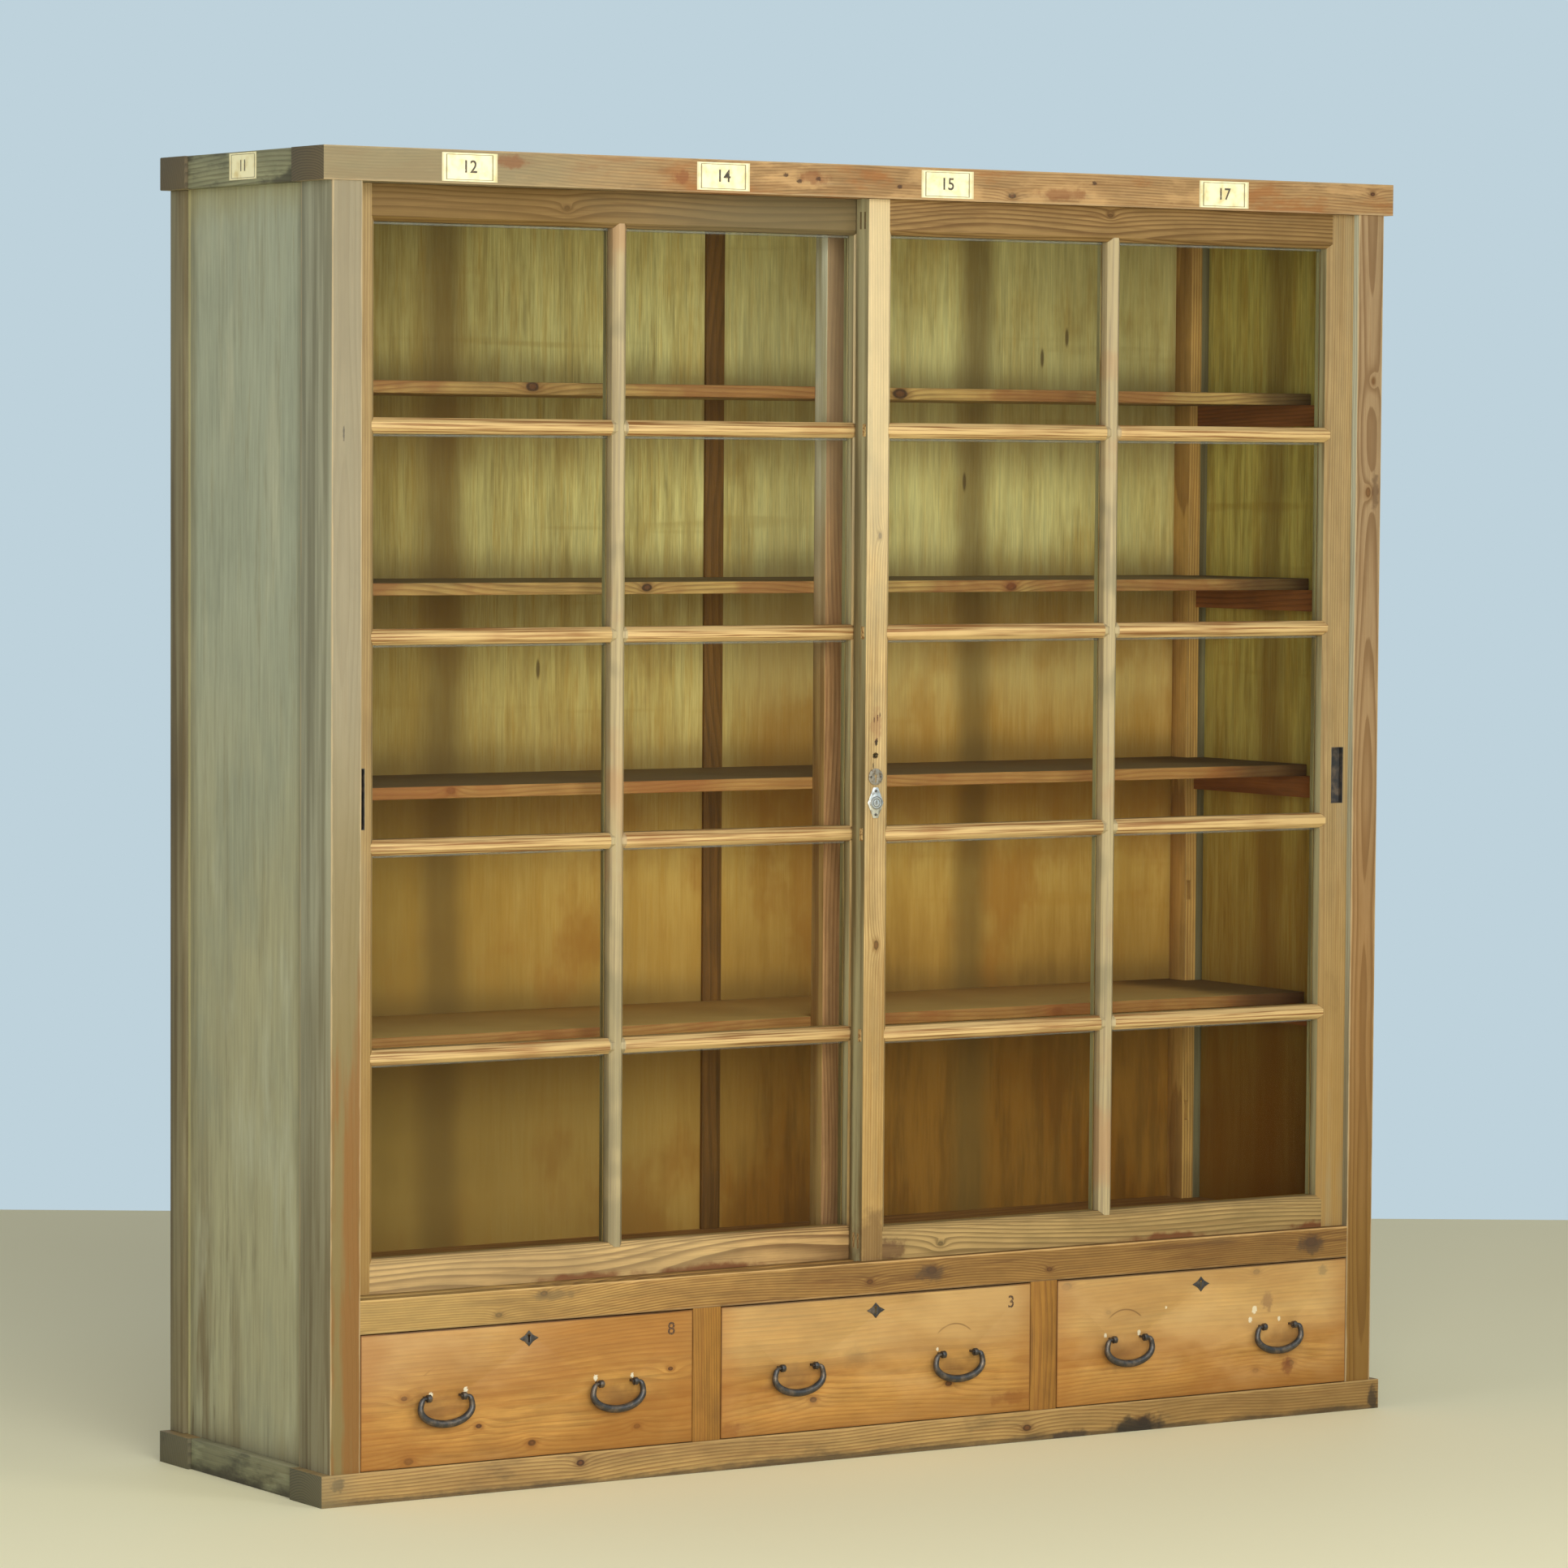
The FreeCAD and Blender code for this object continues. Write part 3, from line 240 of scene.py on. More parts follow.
# Wood
class Timber(Finish):
    """Sawn softwood. The heart is where the middle of the log lies across the board, and growth is the
    width of one year's ring. Knots are listed as two places on the board's face and a radius. A twin
    gives a pair the same figure in mirror image; fold is a level and how far the wood above it drops."""

    def __init__(self, name, grain, heart, growth, early, late, seed, figure=0.5, wander=0.02,
                 knots=(), face="xz", twin=False, fold=None, lines=0.5):
        super().__init__(name)
        self.grain = grain
        self.face = ["xyz".index(axis) for axis in face]
        self.seed = seed
        across = [i for i in range(3) if "xyz"[i] != grain]
        u, v = [self.axes[i] for i in across]
        if twin:
            u = abs(u)
        if fold:
            v = v - self.step(v, fold[0], fold[0] + 0.001) * fold[1]
        sway_u = (self.figured(2.5, 0.9, 1, 2) - 0.5) * (2 * wander)
        sway_v = (self.figured(2.5, 1.1, 2, 2) - 0.5) * (4 * wander)
        off_u = u - heart[0] + sway_u
        off_v = v - heart[1] + sway_v
        rings = (off_u * off_u + off_v * off_v) ** 0.5 / growth + self.figured(60, 3, 3, 2) * 0.5
        self.knot = None
        for a, b, radius in knots:
            wide, tall = (radius * (1.6 if "xyz"[axis] == grain else 1) for axis in self.face)
            gap = self.from_spot(a, b, wide, tall)
            self.knot = gap if self.knot is None else self.maths("MINIMUM", self.knot, gap)
        if knots:
            rings = rings + 4 / (self.knot + 0.9)
        year = self.maths("FRACT", rings)
        self.late = self.step(year, 0.3, 0.86) * self.step(year, 1, 0.93)
        self.fibre = self.figured(800, 12, 4, 2)
        self.thread = self.figured(210, 5, 10, 3, 0.6)
        self.streak = self.figured(55, 1.8, 5, 4)
        self.blotch = self.figured(9, 3.2, 6, 5, 0.62)
        mottle = self.figured(34, 16, 11, 4, 0.6)
        self.colour = self.blend(self.late * figure, early, late)
        self.lay((self.step(self.blotch, 0.42, 0.72), late, 0.45),
                 (self.step(self.thread, 0.54, 0.66), late, lines))
        self.shade(self.fibre * 0.5 + self.thread * 0.8 + self.streak * 0.5 + mottle * 0.6 - 0.2)
        if knots:
            ragged = self.knot + (mottle - 0.5) * 1.2
            self.lay((self.step(ragged, 2.6, 0.9), late, 0.6),
                     (self.step(ragged, 1.2, 0.8), "3a2212", 0.9),
                     (self.step(ragged, 0.7, 0.3), "704422", 0.6))

    def figured(self, across, along, number, detail, rough=0.55):
        """Noise in lumps that run with the grain, set apart from the wood's other noises by its number."""
        scale = tuple(along if axis == self.grain else across for axis in "xyz")
        return self.cloud(scale, self.seed + number, detail, rough)

    def from_spot(self, a, b, wide, tall):
        """Distance from a spot on the face, 1 at the rim of an oval of this size."""
        scale = [0, 0, 0]
        spot = [0, 0, 0]
        for axis, place, size in zip(self.face, (a, b), (wide, tall)):
            scale[axis] = 1 / size
            spot[axis] = place / size
        return self.distance(scale, spot)

    def smear(self, colour, share, *spots, crisp=0.4):
        """Marks of an uneven oval shape; each spot is its place on the face, its width and its height."""
        for a, b, wide, tall in spots:
            uneven = (self.cloud(4 / (wide + tall), self.seed + a, 4) - 0.5) * 1.6
            ragged = self.from_spot(a, b, wide, tall) + uneven
            self.lay((self.step(ragged, 1, crisp), colour, share))

    def patina(self, colour, share, low=0.45, high=0.7):
        """Weathering in long streaks."""
        self.lay((self.step(self.streak * 0.5 + self.blotch * 0.5, low, high), colour, share))

    def dirt(self, colour, share, low=0.55, high=0.75):
        """Dark grime in irregular patches."""
        self.lay((self.step(self.figured(15, 5, 7, 5, 0.65), low, high), colour, share))

    def arris(self, colour, share, width, node, pair=None):
        """Marks along the long edges of a squared member; pair says where the right one of two is in x."""
        low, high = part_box(node)
        reach = None
        for axis in (i for i in range(3) if "xyz"[i] != self.grain):
            place, near, far = self.axes[axis], low[axis], high[axis]
            if pair and axis == 0:
                place, near, far = abs(place), *pair
            gap = abs(abs(place - (near + far) / 2) - (far - near) / 2)
            reach = gap if reach is None else reach + gap
        ragged = reach + (self.figured(90, 14, 8, 3) - 0.5) * width * 2
        self.lay((self.step(ragged, width, width * 0.2), colour, share))

    def end_grain(self, colour, share=0.6):
        """Cut ends drink in more dirt, and so do the backs of the beams' ends."""
        along = "xyz".index(self.grain)
        cut = self.step(abs(self.facing[along]), 0.3, 0.6)
        tip = self.step(abs(self.axes[along]), BEAM_END, BEAM_END + 0.001)
        back = self.step(abs(self.facing[1]), 0.3, 0.6) * self.fade("y", FRONT + 0.01, FRONT + 0.02)
        end = self.maths("MAXIMUM", cut, tip * back)
        self.lay((end, colour, share))
        self.shade(1 - end * (self.late * 0.3 + 0.05))

    def foot(self, level, fade, colour, share):
        """Damp and dirt that has climbed from the floor."""
        tide = self.axes[2] + (self.cloud((9, 9, 20), self.seed + 9, 5, 0.7) - 0.5) * fade * 2.2
        self.lay((self.step(tide, level + fade, level), colour, share))

    def sawn(self, rough=0.62, depth=0.5, **constants):
        """Close the finish: bare wood, dull, with its grain standing a little proud."""
        height = self.late * 0.5 + self.fibre * 0.4 + self.blotch * 0.8
        constants.setdefault("Specular_IOR_Level", 0.3)
        return self.done(self.fibre * 0.1 + rough, self.relief(height, 0.0006, depth), **constants)


GREY = "969274"
GREY_DARK = "6c6448"
UMBER = "604426"
SOOT = "342e24"
CREAM = "e2dcc0"


def cornice_finish():
    w = Timber(
        "cornice_pine", "x", (FRONT + 0.05, TOP - 0.12), 0.0038, "a88658", "6a4826", 3, 0.45,
        0.022, [(0.871, 1.829, 0.003), (-0.3, 1.836, 0.004), (0.215, 1.808, 0.004)])
    patches = w.cloud((6, 20, 18), 71, 6, 0.62)
    w.lay((w.step(patches, 0.5, 0.62), "965c2a", 0.6),
          (w.step(patches, 0.46, 0.36), "c49e6a", 0.55),
          (w.fade("x", 0.05, -0.45, 0.6), "827a5c", 0.8))
    w.patina(GREY, 0.4, 0.52, 0.72)
    w.smear("7c4826", 0.6, (-0.127, 1.824, 0.035, 0.012), (0.305, 1.812, 0.05, 0.012),
            (-0.345, 1.818, 0.02, 0.012), (-0.62, 1.83, 0.03, 0.012))
    for x, z in ((-0.172, 1.826), (-0.15, 1.818), (-0.118, 1.822), (0.02, 1.815), (0.36, 1.83)):
        w.smear("402a1c", 0.85, (x, z, 0.006, 0.004))
    w.lay((w.step(w.facing[2], 0.6, 0.9), "a09272", 0.6))
    w.arris("b29a74", 0.5, 0.003, "cornice_front_rail")
    w.end_grain("5e523c", 0.85)
    w.dirt(UMBER, 0.35, 0.6, 0.78)
    return w.sawn()


def plinth_finish():
    w = Timber(
        "plinth_pine", "x", (FRONT + 0.05, -0.05), 0.0036, "aa8a52", "6a4a28", 5, 0.6,
        0.02, [(0.469, 0.014, 0.007), (0.26, 0.02, 0.004), (-0.5, 0.03, 0.004)])
    w.patina(GREY_DARK, 0.4, 0.52, 0.74)
    w.lay((w.fade("x", 0.2, 0.7, 0.3), "7a5828", 0.4))
    w.arris("b89862", 0.6, 0.0035, "plinth_front_rail")
    w.foot(0, 0.012, SOOT, 0.75)
    w.smear("2c261e", 0.9, (0.46, 0.008, 0.06, 0.018))
    w.smear("382e24", 0.8, (0.34, 0.002, 0.05, 0.01))
    w.smear("382e22", 0.85, (0.9, 0.01, 0.012, 0.03))
    w.smear("3c3428", 0.7, (-0.885, 0.03, 0.016, 0.012))
    w.lay((w.fade("x", -0.78, -0.86, 0.1), "80704c", 0.6))
    w.end_grain("605c46", 0.9)
    w.dirt(SOOT, 0.5, 0.58, 0.76)
    return w.sawn()


def sill_finish():
    w = Timber(
        "sill_pine", "x", (FRONT + 0.03, 0.17), 0.0034, "ac8648", "603c1a", 7, 0.6, 0.022,
        [(-0.558, 0.271, 0.004), (-0.631, 0.246, 0.0035), (0.092, 0.262, 0.006), (-0.015, 0.252, 0.003),
         (0.782, 0.26, 0.007), (0.3, 0.25, 0.003)])
    w.lay((w.fade("x", -0.15, 0.4, 0.5), "6c481e", 0.5),
          (w.step(w.cloud((3, 30, 60), 81, 5, 0.6), 0.54, 0.66), "5c3a1a", 0.6))
    w.smear("4a3c2c", 0.6, (0.09, 0.258, 0.035, 0.016))
    w.smear("4a3a2a", 0.65, (0.78, 0.256, 0.03, 0.018))
    w.smear("544430", 0.5, (-0.54, 0.268, 0.045, 0.009))
    w.patina(GREY_DARK, 0.3, 0.55, 0.75)
    # Pale worn arrises, which also stand as a painted highlight along the sill's edges.
    w.arris("d0a86c", 0.75, 0.003, "door_sill")
    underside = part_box("door_sill")[0].z
    w.lay((w.fade("z", underside + 0.0024, underside + 0.001), "422a16", 0.7),
          (w.fade("x", -0.2, -0.6, 0.3), "baa060", 0.35))
    w.dirt(UMBER, 0.4, 0.6, 0.78)
    return w.sawn()


def front_post_finish():
    """Olive and grey at the left, warmer at the right, and weathered on the faces that look outward."""
    w = Timber(
        "post_pine", "z", (HALF - 0.018, FRONT - 0.03), 0.0045, "a49272", "765c3e", 9, 0.5, 0.012,
        [(0.879, 1.551, 0.003), (0.872, 1.385, 0.005)], twin=True)
    w.patina(GREY, 0.3, 0.5, 0.72)
    left = w.fade("x", 0.1, -0.1)
    right = 1 - left
    low_left = left * w.fade("z", 1.45, 0.75, 0.5)
    w.lay((left, "8c846a", 0.75),
          (right, "8c6636", 0.5),
          (right * w.fade("z", 1.6, 0.8, 0.5), "966624", 0.45),
          (right * w.fade("z", 1, 0.4, 0.5), "74520c", 0.65),
          (low_left, "786636", 0.82),
          (low_left * w.step(w.streak * 0.6 + w.blotch * 0.4, 0.48, 0.6), "84521e", 0.65))
    w.smear("543a22", 0.6, (0.884, 1.385, 0.008, 0.035))
    w.smear("423e3a", 0.7, (-0.877, 1.458, 0.002, 0.014))
    outward = w.step(abs(w.facing[0]), 0.4, 0.7)
    w.lay((outward, w.blend(w.step(w.streak, 0.35, 0.65), "a4a48a", "7a7860"), 0.9),
          (outward * w.fade("z", 1.5, 0.6, 0.8), "706240", 0.6),
          (outward * w.fade("z", 1, 0.4, 0.8) * w.step(w.streak, 0.45, 0.6), "4e3c22", 0.6),
          (right * w.late, "543416", 0.32))
    # Pale worn arrises, which also stand as a painted highlight along the posts' edges.
    w.arris("bea67c", 0.6, 0.0025, "front_posts", (HALF - POST_WIDTH, HALF))
    return w.sawn()


def rear_post_finish():
    w = Timber("rear_post_pine", "z", (0.6, 0.2), 0.005, "d0a25c", "885c2e", 13, 0.6)
    outward = w.step(abs(w.axes[0]), HALF - 0.026, HALF - 0.024)
    w.lay((outward, w.blend(w.step(w.streak, 0.35, 0.65), "7e785c", "564c34"), 0.95))
    w.dirt(SOOT, 0.35, 0.62, 0.8)
    return w.sawn()


def side_rail_finish():
    w = Timber("side_rail_pine", "y", (0.7, 0.1), 0.005, "8e8e6e", "5c563c", 11, 0.5, face="yz")
    w.patina(GREY_DARK, 0.6)
    w.dirt(SOOT, 0.75, 0.48, 0.62)
    w.foot(0, 0.02, SOOT, 0.8)
    w.lay((w.step(w.facing[2], 0.4, 0.8), "968e6c", 0.5))
    return w.sawn()


def divider_finish():
    w = Timber("divider_pine", "z", (0.2, FRONT - 0.2), 0.004, "966a2a", "6c441a", 15, 0.45)
    w.dirt(UMBER, 0.35)
    return w.sawn()


def stile_finish():
    """The doors' uprights: pale where they meet, darker outside, with old screw holes above the lock."""
    w = Timber(
        "stile_pine", "z", (0.4, FRONT - 0.12), 0.0042, "c4a872", "805e32", 17, 0.5, 0.01,
        [(-0.001, 0.735, 0.004), (0.001, 1.32, 0.003)])
    w.lay((w.step(abs(w.axes[0]), 0.3, 0.7), "78623e", 0.55),
          (w.fade("z", 1.2, 0.6, 0.4), "a07a3a", 0.55),
          (w.step(abs(w.axes[0]), 0.1, 0.05) * w.fade("z", 1.3, 1.7, 0.4), "decea4", 0.5))
    w.patina(GREY, 0.4, 0.5, 0.7)
    sides = w.step(abs(w.facing[0]), 0.75, 0.95)
    w.lay((sides, w.blend(w.step(w.streak, 0.4, 0.62), "a09c76", "665a3a"), 0.8))
    w.smear("5c4228", 0.55, (-0.002, SILL_TOP + 0.03, 0.03, 0.06))
    # The old screw holes are painted dark: painted shade in the holes, with dirt.
    w.smear("221810", 0.95, (-0.0042, 1.0065, 0.0048, 0.0048), (-0.003, 1.026, 0.003, 0.006),
            (-0.001, 1.06, 0.001, 0.006), (-0.007, 1.058, 0.001, 0.005), (-0.008, 0.992, 0.001, 0.005),
            (0.003, 1.064, 0.001, 0.004), crisp=0.7)
    w.smear("885234", 0.35, (-0.004, 1.05, 0.012, 0.03))
    w.dirt(UMBER, 0.35, 0.6, 0.78)
    return w.sawn()


def rail_finish():
    """The doors' top and bottom rails; the fold gives both the same flat-sawn figure."""
    w = Timber(
        "door_rail_cedar", "x", (FRONT - 0.03, 0.268), 0.0042, "c09c64", "5c3a1c", 19, 0.75, 0.022,
        [(-0.5, 1.772, 0.003), (0.115, 0.298, 0.003), (0.4, 1.785, 0.003)], fold=(1, 1.472))
    head = w.fade("z", 1, 1.2)
    foot = 1 - head
    # The first layer darkens the top rails: painted shadow of the cornice.
    w.lay((head, "5c4216", 0.6),
          (head * w.fade("x", -0.3, -0.6), "644c1e", 0.6),
          (foot * w.fade("x", -0.02, 0.02), "887848", 0.42),
          (head * w.fade("x", -0.42, -0.02, 0.3) * w.fade("x", 0, -0.005), "685e42", 0.75),
          (foot * w.fade("x", 0, -0.2, 0.3), "c6ae78", 0.3))
    for x, wide in ((-0.46, 0.11), (-0.25, 0.1), (0.52, 0.09), (0.79, 0.05)):
        w.smear("6e361a", 0.75, (x, SILL_TOP, wide, 0.012))
    w.smear("583820", 0.7, (0.03, SILL_TOP + 0.016, 0.035, 0.02))
    w.patina(GREY_DARK, 0.3, 0.52, 0.75)
    return w.sawn()


def bar_finish():
    """Level bars have their grain along x; the two uprights are taken from the same stock, stood up."""
    f = Finish("glazing_bar_pine")
    level = f.step(abs(abs(f.axes[0]) - UPRIGHT_BAR), 0.0125, 0.013)
    upright = 1 - level
    line = f.cloud((5, 300, 300), 21) * level + f.cloud((300, 300, 5), 22) * upright
    broad = f.cloud(6, 23)
    f.colour = f.blend(f.step(line, 0.42, 0.66), "ceae74", "885e30")
    f.lay((f.step(broad, 0.52, 0.74), "966232", 0.45),
          (upright, "a49c7c", 0.65),
          (f.step(broad, 0.46, 0.34) * upright, "7c765a", 0.5),
          (f.step(broad, 0.52, 0.64) * upright, "b2865a", 0.5))
    return f.done(0.55, f.relief(line, 0.0005, 0.5), Specular_IOR_Level=0.35)


def drawer_finish():
    """The three fronts, cut from one warm board: scratched by the bails, grimy round every edge."""
    w = Timber(
        "drawer_front_pine", "x", (FRONT + 0.05, 0.125), 0.005, "b48642", "804e1c", 23, 0.36, 0.02,
        [(-0.78, 0.141, 0.0036), (-0.662, 0.094, 0.0034), (-0.577, 0.064, 0.0046), (-0.773, 0.053, 0.0052),
         (-0.406, 0.074, 0.0034), (-0.351, 0.151, 0.0026), (-0.111, 0.089, 0.0038), (0.123, 0.095, 0.003),
         (0.331, 0.222, 0.005), (0.407, 0.179, 0.003), (0.679, 0.222, 0.004), (0.679, 0.073, 0.0034),
         (0.744, 0.08, 0.0042)], lines=0.22)
    w.lay((w.step(w.cloud((3, 9, 12), 91, 5, 0.6), 0.44, 0.64), "8e581c", 0.6),
          (w.step(w.cloud((4, 9, 9), 92, 4, 0.55), 0.46, 0.68), "cca468", 0.45),
          (w.fade("x", -0.3, -0.75, 0.3) * w.fade("z", 0.14, 0.22, 0.06), "ceb07c", 0.3),
          (w.step(abs(w.axes[0] + 0.42 + w.blotch * 0.1), 0.2, 0.1) * w.fade("z", 0.19, 0.23, 0.1),
           "945e26", 0.55))
    w.smear("644626", 0.45, (-0.735, 0.12, 0.055, 0.035), (-0.44, 0.12, 0.05, 0.03),
            (-0.15, 0.118, 0.05, 0.03), (-0.035, 0.145, 0.04, 0.022), (0.14, 0.116, 0.05, 0.03),
            (0.43, 0.116, 0.05, 0.03), (0.735, 0.112, 0.05, 0.03), crisp=0)
    w.smear("6a361e", 0.75, (0.7, 0.176, 0.013, 0.018))
    w.smear("724022", 0.7, (0.738, 0.075, 0.012, 0.018))
    w.smear("743c18", 0.6, (0.236, 0.066, 0.05, 0.012))
    w.smear("804e26", 0.6, (-0.252, 0.056, 0.03, 0.012))
    w.smear("504230", 0.6, (0.804, 0.216, 0.012, 0.01))
    for x, z, size in ((-0.738, 0.1425, 0.0034), (-0.683, 0.1455, 0.004), (-0.474, 0.1475, 0.004),
                       (-0.414, 0.1465, 0.0032), (0.103, 0.1465, 0.0024), (0.402, 0.1455, 0.003),
                       (0.463, 0.1455, 0.0036), (0.668, 0.1505, 0.004), (0.676, 0.1645, 0.005),
                       (0.722, 0.1485, 0.003), (0.512, 0.1795, 0.002)):
        w.smear(CREAM, 0.85, (x, z, size, size * 1.3), crisp=0.7)
    low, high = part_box("drawer_2_front")
    # Painted shade: the dark of the keyhole, seen through each escutcheon.
    for drawer in DRAWERS:
        x = middle_of(drawer + "_lock_bolt").x
        w.smear("16100c", 0.95, (x, high.z - 0.023, 0.004, 0.008), crisp=0.8)
    w.arris("7c4e24", 0.5, 0.003, "drawer_2_front")
    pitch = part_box("drawer_3_front")[0].x - low.x
    from_middle = w.maths("MINIMUM", abs(w.axes[0]), abs(abs(w.axes[0]) - pitch))
    inward = abs(from_middle - (high.x - low.x) / 2)
    w.lay((w.step(inward + (w.streak - 0.5) * 0.004, 0.003, 0), "7c4e24", 0.5),
          (w.fade("x", -0.35, -0.25) * w.fade("z", 0.14, 0.2, 0.06), "d0b478", 0.3),
          (w.step(inward, 0.0016, 0.0006), "462a14", 0.7),
          (w.fade("z", high.z - 0.0024, high.z - 0.001), "3c2412", 0.75),
          (w.step(inward + (w.blotch - 0.5) * 0.1, 0.045, 0), "966024", 0.4),
          (w.step(w.axes[2] + (w.blotch - 0.5) * 0.1, 0.085, 0.045), "8c5c24", 0.5))
    for x in (-0.72, 0.133, 0.437):
        from_arc = abs(w.from_spot(x, 0.14, 1, 1) - 0.0415)
        rubbed = w.step(from_arc, 0.0016, 0.0006) * w.fade("z", 0.168, 0.172) * w.step(w.blotch, 0.4, 0.52)
        w.lay((rubbed, "624226", 0.6))
    return w.sawn(0.5, 0.35)


def inner_finish(name, grain, early, late, seed, patch=UMBER, share=0.4):
    """Rougher, darker timber inside the carcass."""
    heart = {"x": (FRONT + 0.6, 1.1), "y": (0.5, 0.9), "z": (0.3, FRONT - 0.2)}[grain]
    w = Timber(name, grain, heart, 0.0055, early, late, seed, 0.45)
    w.dirt(patch, share, 0.55, 0.75)
    return w.sawn(0.7)


def centre_post_finish():
    """Red-brown in front; its sides are paler, near white high up, as painted light."""
    w = Timber("centre_post_pine", "z", (0.3, FRONT - 0.2), 0.0045, "be8e62", "805434", 30, 0.5)
    sides = w.step(abs(w.facing[0]), 0.5, 0.8)
    streaks = w.step(w.streak, 0.4, 0.6)
    high_up = w.fade("z", 1.2, 1.7, 0.4)
    w.lay((w.fade("z", 1.3, 1.8, 0.4), "b0967a", 0.6),
          # Painted light: the post's sides made pale, near white high up.
          (sides * high_up, w.blend(streaks, "faf4e0", "cec2a0"), 0.9),
          (sides * (1 - high_up), w.blend(streaks, "c4a064", "96703e"), 0.8))
    return w.sawn(0.7)


def shelf_finish():
    w = Timber(
        "shelf_pine", "x", (FRONT + 0.13, 1.05), 0.0065, "be985c", "7a5028", 27, 0.5, 0.03,
        [(-0.84, 1.522, 0.005), (-0.49, 1.527, 0.006), (0.13, 1.524, 0.007), (0.33, 1.243, 0.006),
         (-0.3, 1.245, 0.005), (0.05, 0.961, 0.006), (-0.62, 0.963, 0.005), (0.42, 0.612, 0.006)])
    upward = w.step(w.facing[2], 0.6, 0.9)
    w.lay((w.step(w.cloud((5, 6, 9), 73, 4), 0.46, 0.6), "884a26", 0.6),
          (w.fade("z", 1.2, 1), "a4602c", 0.45),
          (upward * w.fade("z", 0.7, 0.9), "706246", 0.8),
          (upward * w.fade("z", 0.9, 0.7), "c8aa68", 0.7),
          # Painted shadow at the right-hand ends of the shelves, by the right wall.
          (w.fade("x", 0.8, 0.9, 0.2), "48321e", 0.7))
    return w.sawn(0.65)


def ply_colour(f, seed, light, dark, patch):
    """Thin ply: a fine upright figure with soft blotches and a few level stains."""
    fine = f.cloud((520, 520, 14), seed)
    thread = f.cloud((170, 170, 8), seed + 5, 4, 0.65)
    streak = f.cloud((48, 48, 4.5), seed + 1, 5, 0.66)
    f.blotch = f.cloud((6, 6, 3.4), seed + 2, 5, 0.62)
    level = f.cloud((1.5, 1.5, 26), seed + 6)
    f.colour = f.blend(f.step(streak, 0.36, 0.66) * 0.75, light, dark)
    f.lay((f.step(f.blotch, 0.46, 0.66), patch, 0.5),
          (f.step(level, 0.6, 0.72), dark, 0.45),
          (f.step(thread, 0.54, 0.68), patch, 0.55))
    f.shade(fine * 0.9 + thread * 1.1 + f.blotch * 0.5 - 0.25)
    return thread, streak, f.blotch


def weathered(f, outside, thread, colour, *covers):
    """The outer face of a ply panel: a colour of its own, with each cover laid over it in turn."""
    for cover, over in covers:
        colour = f.blend(cover, colour, over)
    f.colour = f.blend(outside, f.colour, f.blend(1, colour, f.grey(thread * 0.7 + 0.65), "MULTIPLY"))


def back_ply_finish():
    f = Finish("back_ply")
    thread, streak, lumps = ply_colour(f, 33, "e6d68e", "bca058", "ac8a44")
    lower = f.fade("z", 1.5, 0.8, 0.3)
    third_row = f.fade("x", 0, 0.1) * f.step(abs(f.axes[2] + lumps * 0.1 - 1.1), 0.22, 0.12)
    right_foot = f.fade("z", 1, 0.55, 0.3) * f.fade("x", -0.1, 0.3, 0.2)
    f.lay((lower, "cc963c", 0.8),
          (third_row, "c48428", 0.5),
          (lower * f.step(lumps, 0.46, 0.64), "aa6c24", 0.6),
          (right_foot, f.blend(f.step(streak, 0.4, 0.62), "8c5812", "683e0c"), 0.8),
          # Painted shadow of the left side wall, darkening the left-hand bays.
          (f.fade("x", -0.05, -0.6, 0.3), "806224", 0.85),
          (f.fade("x", 0.2, -0.1, 0.2) * f.fade("z", 0.9, 0.6, 0.2), "866e3c", 0.45),
          (f.fade("x", 0.6, 0.85, 0.2) * f.fade("z", 1.3, 1.6), "886e2e", 0.4),
          (f.fade("x", -0.1, 0.1) * f.fade("z", 1.1, 1.2, 0.2) * f.step(lumps, 0.7, 0.4),
           "f4e8a8", 0.25))
    # Painted shadows: dark upright bands on the back from the doors' upright bars and from the side walls
    # near the rear corners.
    for middle, half, colour, share, seed in (
            (-0.462, 0.06, "785c2c", 0.75, 61), (0.47, 0.05, "806432", 0.7, 62),
            (-0.885, 0.04, "785c2c", 0.6, 63), (0.885, 0.05, "785c2c", 0.6, 64)):
        wander = (f.cloud((1, 1, 2.2), seed, 4) - 0.5) * 0.06
        f.lay((f.step(abs(f.axes[0] - middle + wander), half, half * 0.15), colour, share))
    # Painted shadow on the back under each shelf, and a darker band along each shelf top.
    for shelf_top in SHELF_TOPS:
        rise = f.axes[2] - shelf_top + (lumps - 0.5) * 0.05
        f.lay((f.step(rise, 0.055, 0) * f.step(rise, -0.03, 0), "6e542c", 0.5),
              (f.step(rise, -0.17, -0.04) * f.step(rise, 0, -0.03), "704614", 0.45))
    for x, z in ((0.642, 1.618), (0.596, 1.586), (0.453, 1.396), (-0.3, 1.12), (0.2, 0.86)):
        gap = f.distance((300, 0, 70), (x * 300, 0, z * 70))
        f.lay((f.step(gap, 1.3, 0.6), "543a1e", 0.75))
    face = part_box("back_panels")[1].y
    weathered(f, f.fade("y", face - 0.0025, face - 0.0015), thread,
              f.blend(f.step(streak, 0.42, 0.66), "9e8e68", "84724e"),
              (f.step(lumps, 0.5, 0.7) * 0.6, "b09e74"),
              (f.fade("z", 0.32, 0.12, 0.2) * 0.7, "54462e"))
    return f.done(thread * 0.1 + 0.62, f.relief(thread + streak, 0.0005, 0.4), Specular_IOR_Level=0.25)


